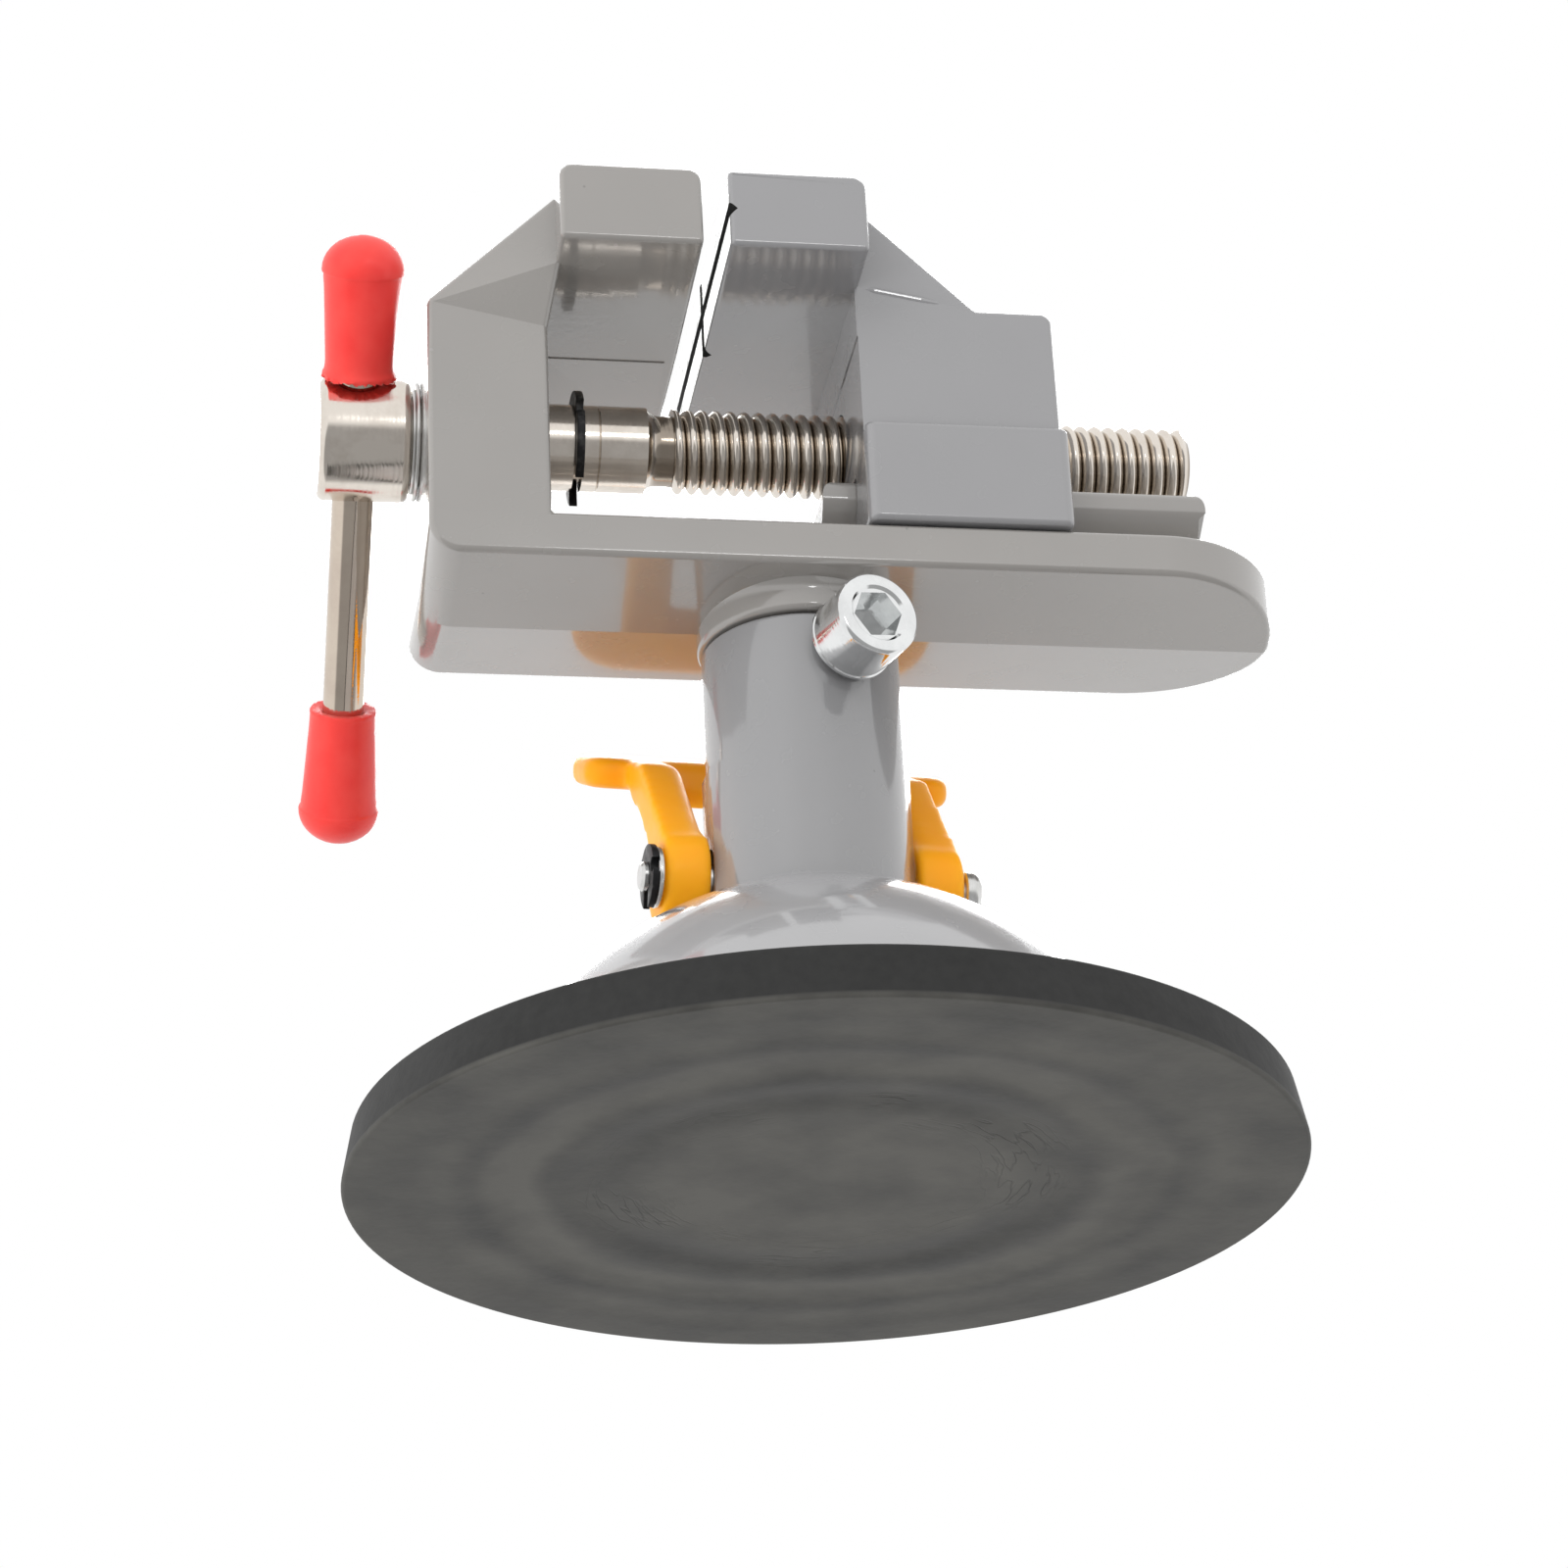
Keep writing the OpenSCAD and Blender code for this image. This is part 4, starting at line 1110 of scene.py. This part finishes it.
def lead_screw():
    edge = 0.9
    clip = (SHANK_CLIP_X - 0.05, SHANK_CLIP_X + 0.95)
    score = -21.9
    neck = THREAD_START - 2.1
    core = THREAD_ROOT + 0.05
    outline = [(0, HEAD_LEFT)] + arc((HEAD_R - edge, HEAD_LEFT + edge), edge, -90, 0, 8)
    outline += arc((HEAD_R - edge, HEAD_X - edge), edge, 0, 90, 8)
    outline += [(SHANK_R, HEAD_X), (SHANK_R, clip[0]), (SHANK_GROOVE, clip[0]), (SHANK_GROOVE, clip[1])]
    outline += [(SHANK_R, clip[1]), (SHANK_R, score), (SHANK_R - 0.12, score + 0.12)]
    outline += [(SHANK_R, score + 0.24), (SHANK_R, neck - 1.0)]
    outline += bow((SHANK_R, neck - 0.9), (THREAD_ROOT, neck - 0.3), (core, neck + 0.6), 4)
    outline += [(core, THREAD_START + 0.2), (THREAD_ROOT - 0.4, THREAD_START + 0.5), (0, THREAD_START + 0.5)]
    piece = turned("lead_screw_spindle", outline, SPINDLE, 96)
    weld(piece, thread_rod())
    carve(piece, rod("cross_hole", BAR_R + FIT_GAP, -20, 20, BAR, 64))
    smooth(piece)
    settle(piece, "screw", "nickel_screw", [NICKEL], "lead_screw")


def spindle_fittings():
    for name, node, start, outer in (("spindle_washer_outer", "screw_washer_outer", -42.5, 5.8),
                                     ("spindle_washer_inner", "screw_washer_inner", -42.1, 6.6)):
        washer = flat_ring(name, along(SPINDLE, start), SHANK_R + FIT_GAP, outer, 0.4)
        smooth(washer)
        settle(washer, "screw", "bright_steel", [ZINC], node)
    spot = place((SHANK_CLIP_X, 0, SCREW_Z), (0, 0, -1), (0, 1, 0))
    clip = e_clip("spindle_clip", spot, SHANK_GROOVE + 0.03, 6.4, SHANK_R * 1.3, 0.9)
    settle(clip, "screw", "black_steel", [OXIDE], "screw_clip")


def bar_rod():
    top = CAP_REST + CAP_LENGTH - CAP_END
    bottom = CAP_REST - BAR_FREE - CAP_LENGTH + CAP_END
    edge = 0.4
    outline = [(0, bottom), (BAR_R - edge, bottom), (BAR_R, bottom + edge)]
    outline += [(BAR_R, top - edge), (BAR_R - edge, top), (0, top)]
    piece = turned("bar_rod", outline, BAR, 64)
    smooth(piece)
    settle(piece, "handle", "nickel_screw", [BAR_STEEL], "handle_bar")


def dipped_cap(name, node, spot, rim, ragged, seed):
    """A soft cap: a domed end over a faint moulding line, a tapered sleeve and a rim that may be torn."""
    straight = 11.9
    dome = 4.55
    height = CAP_LENGTH - straight
    angles = [math.radians(90 * i / 10) for i in range(11)]
    crown = [(dome * math.cos(a), straight + height * math.sin(a)) for a in angles]
    sleeve = 3.72
    outline = [(BAR_R + 0.02, 0.3), (BAR_R + 0.5, 0.0), (rim - 0.12, 0.0), (rim, 0.15), (rim, 0.4)]
    outline += bow((rim - 0.04, 0.6), (sleeve, 0.8), (sleeve + 0.02, 1.9), 4)
    outline += [(sleeve + 0.02 + 0.55 * i / 6, 1.9 + (straight - 2.3) * i / 6) for i in range(1, 6)]
    outline += [(4.36, straight - 0.35), (4.5, straight - 0.18)] + crown[:-1] + [(0, CAP_LENGTH)]
    inside = [(0, CAP_LENGTH - CAP_END), (BAR_R + 0.02, CAP_LENGTH - CAP_END)]
    piece = turned(name, outline[::-1] + inside[::-1], spot, 72)
    edit(piece)
    pick_points(lambda p: (spot.inverted() @ p).z < 0.25 and (spot.inverted() @ p).xy.length > 3.2)
    bpy.ops.transform.vertex_random(offset=ragged * MM, uniform=0.2, normal=0.3, seed=seed)
    close_up()
    leave()
    smooth(piece, 45)
    settle(piece, "handle", "red_plastic", [VINYL], node)


body_casting()
jaw_casting()
bell_housing()
rubber_pad()
amber_lever()
pin_rod()
pin_fittings()
cap_screw()
lead_screw()
spindle_fittings()
bar_rod()
UPPER = along(BAR, CAP_REST)
dipped_cap("cap_upper", "handle_cap_upper", UPPER, 4.0, 0.25, 3)
LOWER = place(BAR @ Vector((0, 0, CAP_REST - BAR_FREE)), (1, 0, 0), -(BAR.to_3x3() @ Vector((0, 1, 0))))
dipped_cap("cap_lower", "handle_cap_lower", LOWER, 3.74, 0.06, 8)
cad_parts["plunger"].data.materials.clear()
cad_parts["plunger"].data.materials.append(TURNED_STEEL)


# Camera, set where the photograph was taken from

camera_data = bpy.data.cameras.new("camera")
camera_data.sensor_width = 36
camera_data.lens = 101.25
camera_data.clip_start = 0.01
camera = bpy.data.objects.new("camera", camera_data)
bpy.context.scene.collection.objects.link(camera)
EYE = Vector((-76.354, -421.344, -161.534)) * MM
LOOK = Vector((0.15550, 0.88586, 0.43713)).normalized()
HEAD_UP = Vector((-0.02662, -0.43860, 0.89829))
SIDE = LOOK.cross(HEAD_UP).normalized()
camera.matrix_world = Matrix.Translation(EYE) @ Matrix((SIDE, SIDE.cross(LOOK), -LOOK)).transposed().to_4x4()
bpy.context.scene.camera = camera


# Floor, light and background

def pale_floor():
    """A pale floor under the pad that keeps the shadow, and that the camera sees through from below."""
    bpy.ops.mesh.primitive_circle_add(vertices=96, radius=3, fill_type="NGON", location=(0, 0, -0.0004))
    floor = bpy.context.object
    floor.name = "floor"
    bpy.ops.object.transform_apply(location=True)
    finish = bpy.data.materials.new("floor_paper")
    finish.use_nodes = True
    tree = finish.node_tree
    tree.nodes["Principled BSDF"].inputs["Base Color"].default_value = (0.9, 0.9, 0.9, 1)
    tree.nodes["Principled BSDF"].inputs["Roughness"].default_value = 0.9
    side = tree.nodes.new("ShaderNodeNewGeometry")
    clear = tree.nodes.new("ShaderNodeBsdfTransparent")
    mix = tree.nodes.new("ShaderNodeMixShader")
    tree.links.new(side.outputs["Backfacing"], mix.inputs["Fac"])
    tree.links.new(tree.nodes["Principled BSDF"].outputs["BSDF"], mix.inputs[1])
    tree.links.new(clear.outputs["BSDF"], mix.inputs[2])
    tree.links.new(mix.outputs["Shader"], tree.nodes["Material Output"].inputs["Surface"])
    floor.data.materials.append(finish)
    for ray in ("visible_diffuse", "visible_glossy", "visible_transmission", "visible_shadow"):
        setattr(floor, ray, False)


def lamp(name, spot, size, watts, mirrored=True, aim=(0, 0, 0.06)):
    data = bpy.data.lights.new(name, "AREA")
    data.shape = "DISK"
    data.size = size
    data.energy = watts
    thing = bpy.data.objects.new(name, data)
    bpy.context.scene.collection.objects.link(thing)
    thing.location = spot
    thing.rotation_euler = (Vector(aim) - Vector(spot)).to_track_quat("-Z", "Y").to_euler()
    thing.visible_glossy = mirrored


def white_world(from_above, from_below, room):
    """White for the camera and for reflections, which also show a dimmer room below and in front of the
    object. The object itself gets somewhat more light from above than from below."""
    world = bpy.data.worlds.new("studio")
    bpy.context.scene.world = world
    world.use_nodes = True
    tree = world.node_tree
    back = tree.nodes["Background"]
    back.inputs["Color"].default_value = (1, 1, 1, 1)
    path = tree.nodes.new("ShaderNodeLightPath")
    where = tree.nodes.new("ShaderNodeTexCoord")
    split = tree.nodes.new("ShaderNodeSeparateXYZ")
    tree.links.new(where.outputs["Generated"], split.inputs[0])
    towards = tree.nodes.new("ShaderNodeVectorMath")
    towards.operation = "DOT_PRODUCT"
    towards.inputs[1].default_value = Vector((0.1, -0.5, -0.86)).normalized()
    tree.links.new(where.outputs["Generated"], towards.inputs[0])
    level = map_range(tree, split.outputs["Z"], -0.6, 0.6, from_below, from_above)
    mirrored = map_range(tree, towards.outputs["Value"], 0.48, 0.62, 1.0, room)
    for ray, strength in (("Is Glossy Ray", mirrored), ("Is Transmission Ray", 1.0), ("Is Camera Ray", 1.0)):
        mix = tree.nodes.new("ShaderNodeMix")
        tree.links.new(path.outputs[ray], mix.inputs[0])
        tree.links.new(level, mix.inputs[2])
        if isinstance(strength, float):
            mix.inputs[3].default_value = strength
        else:
            tree.links.new(strength, mix.inputs[3])
        level = mix.outputs[0]
    tree.links.new(level, back.inputs["Strength"])


pale_floor()
white_world(1.05, 0.75, 0.4)
lamp("key", (-0.6, -0.9, 0.7), 0.6, 2.2, mirrored=False)
lamp("side", (-0.95, -0.15, -0.2), 0.5, 3.5, mirrored=False)
lamp("front", (0.13, -0.99, 0.265), 0.13, 0.3, aim=(0, 0, 0.09))
lamp("back", (0.2, 0.9, 0.7), 0.7, 8)
bpy.context.scene.view_settings.view_transform = "Standard"
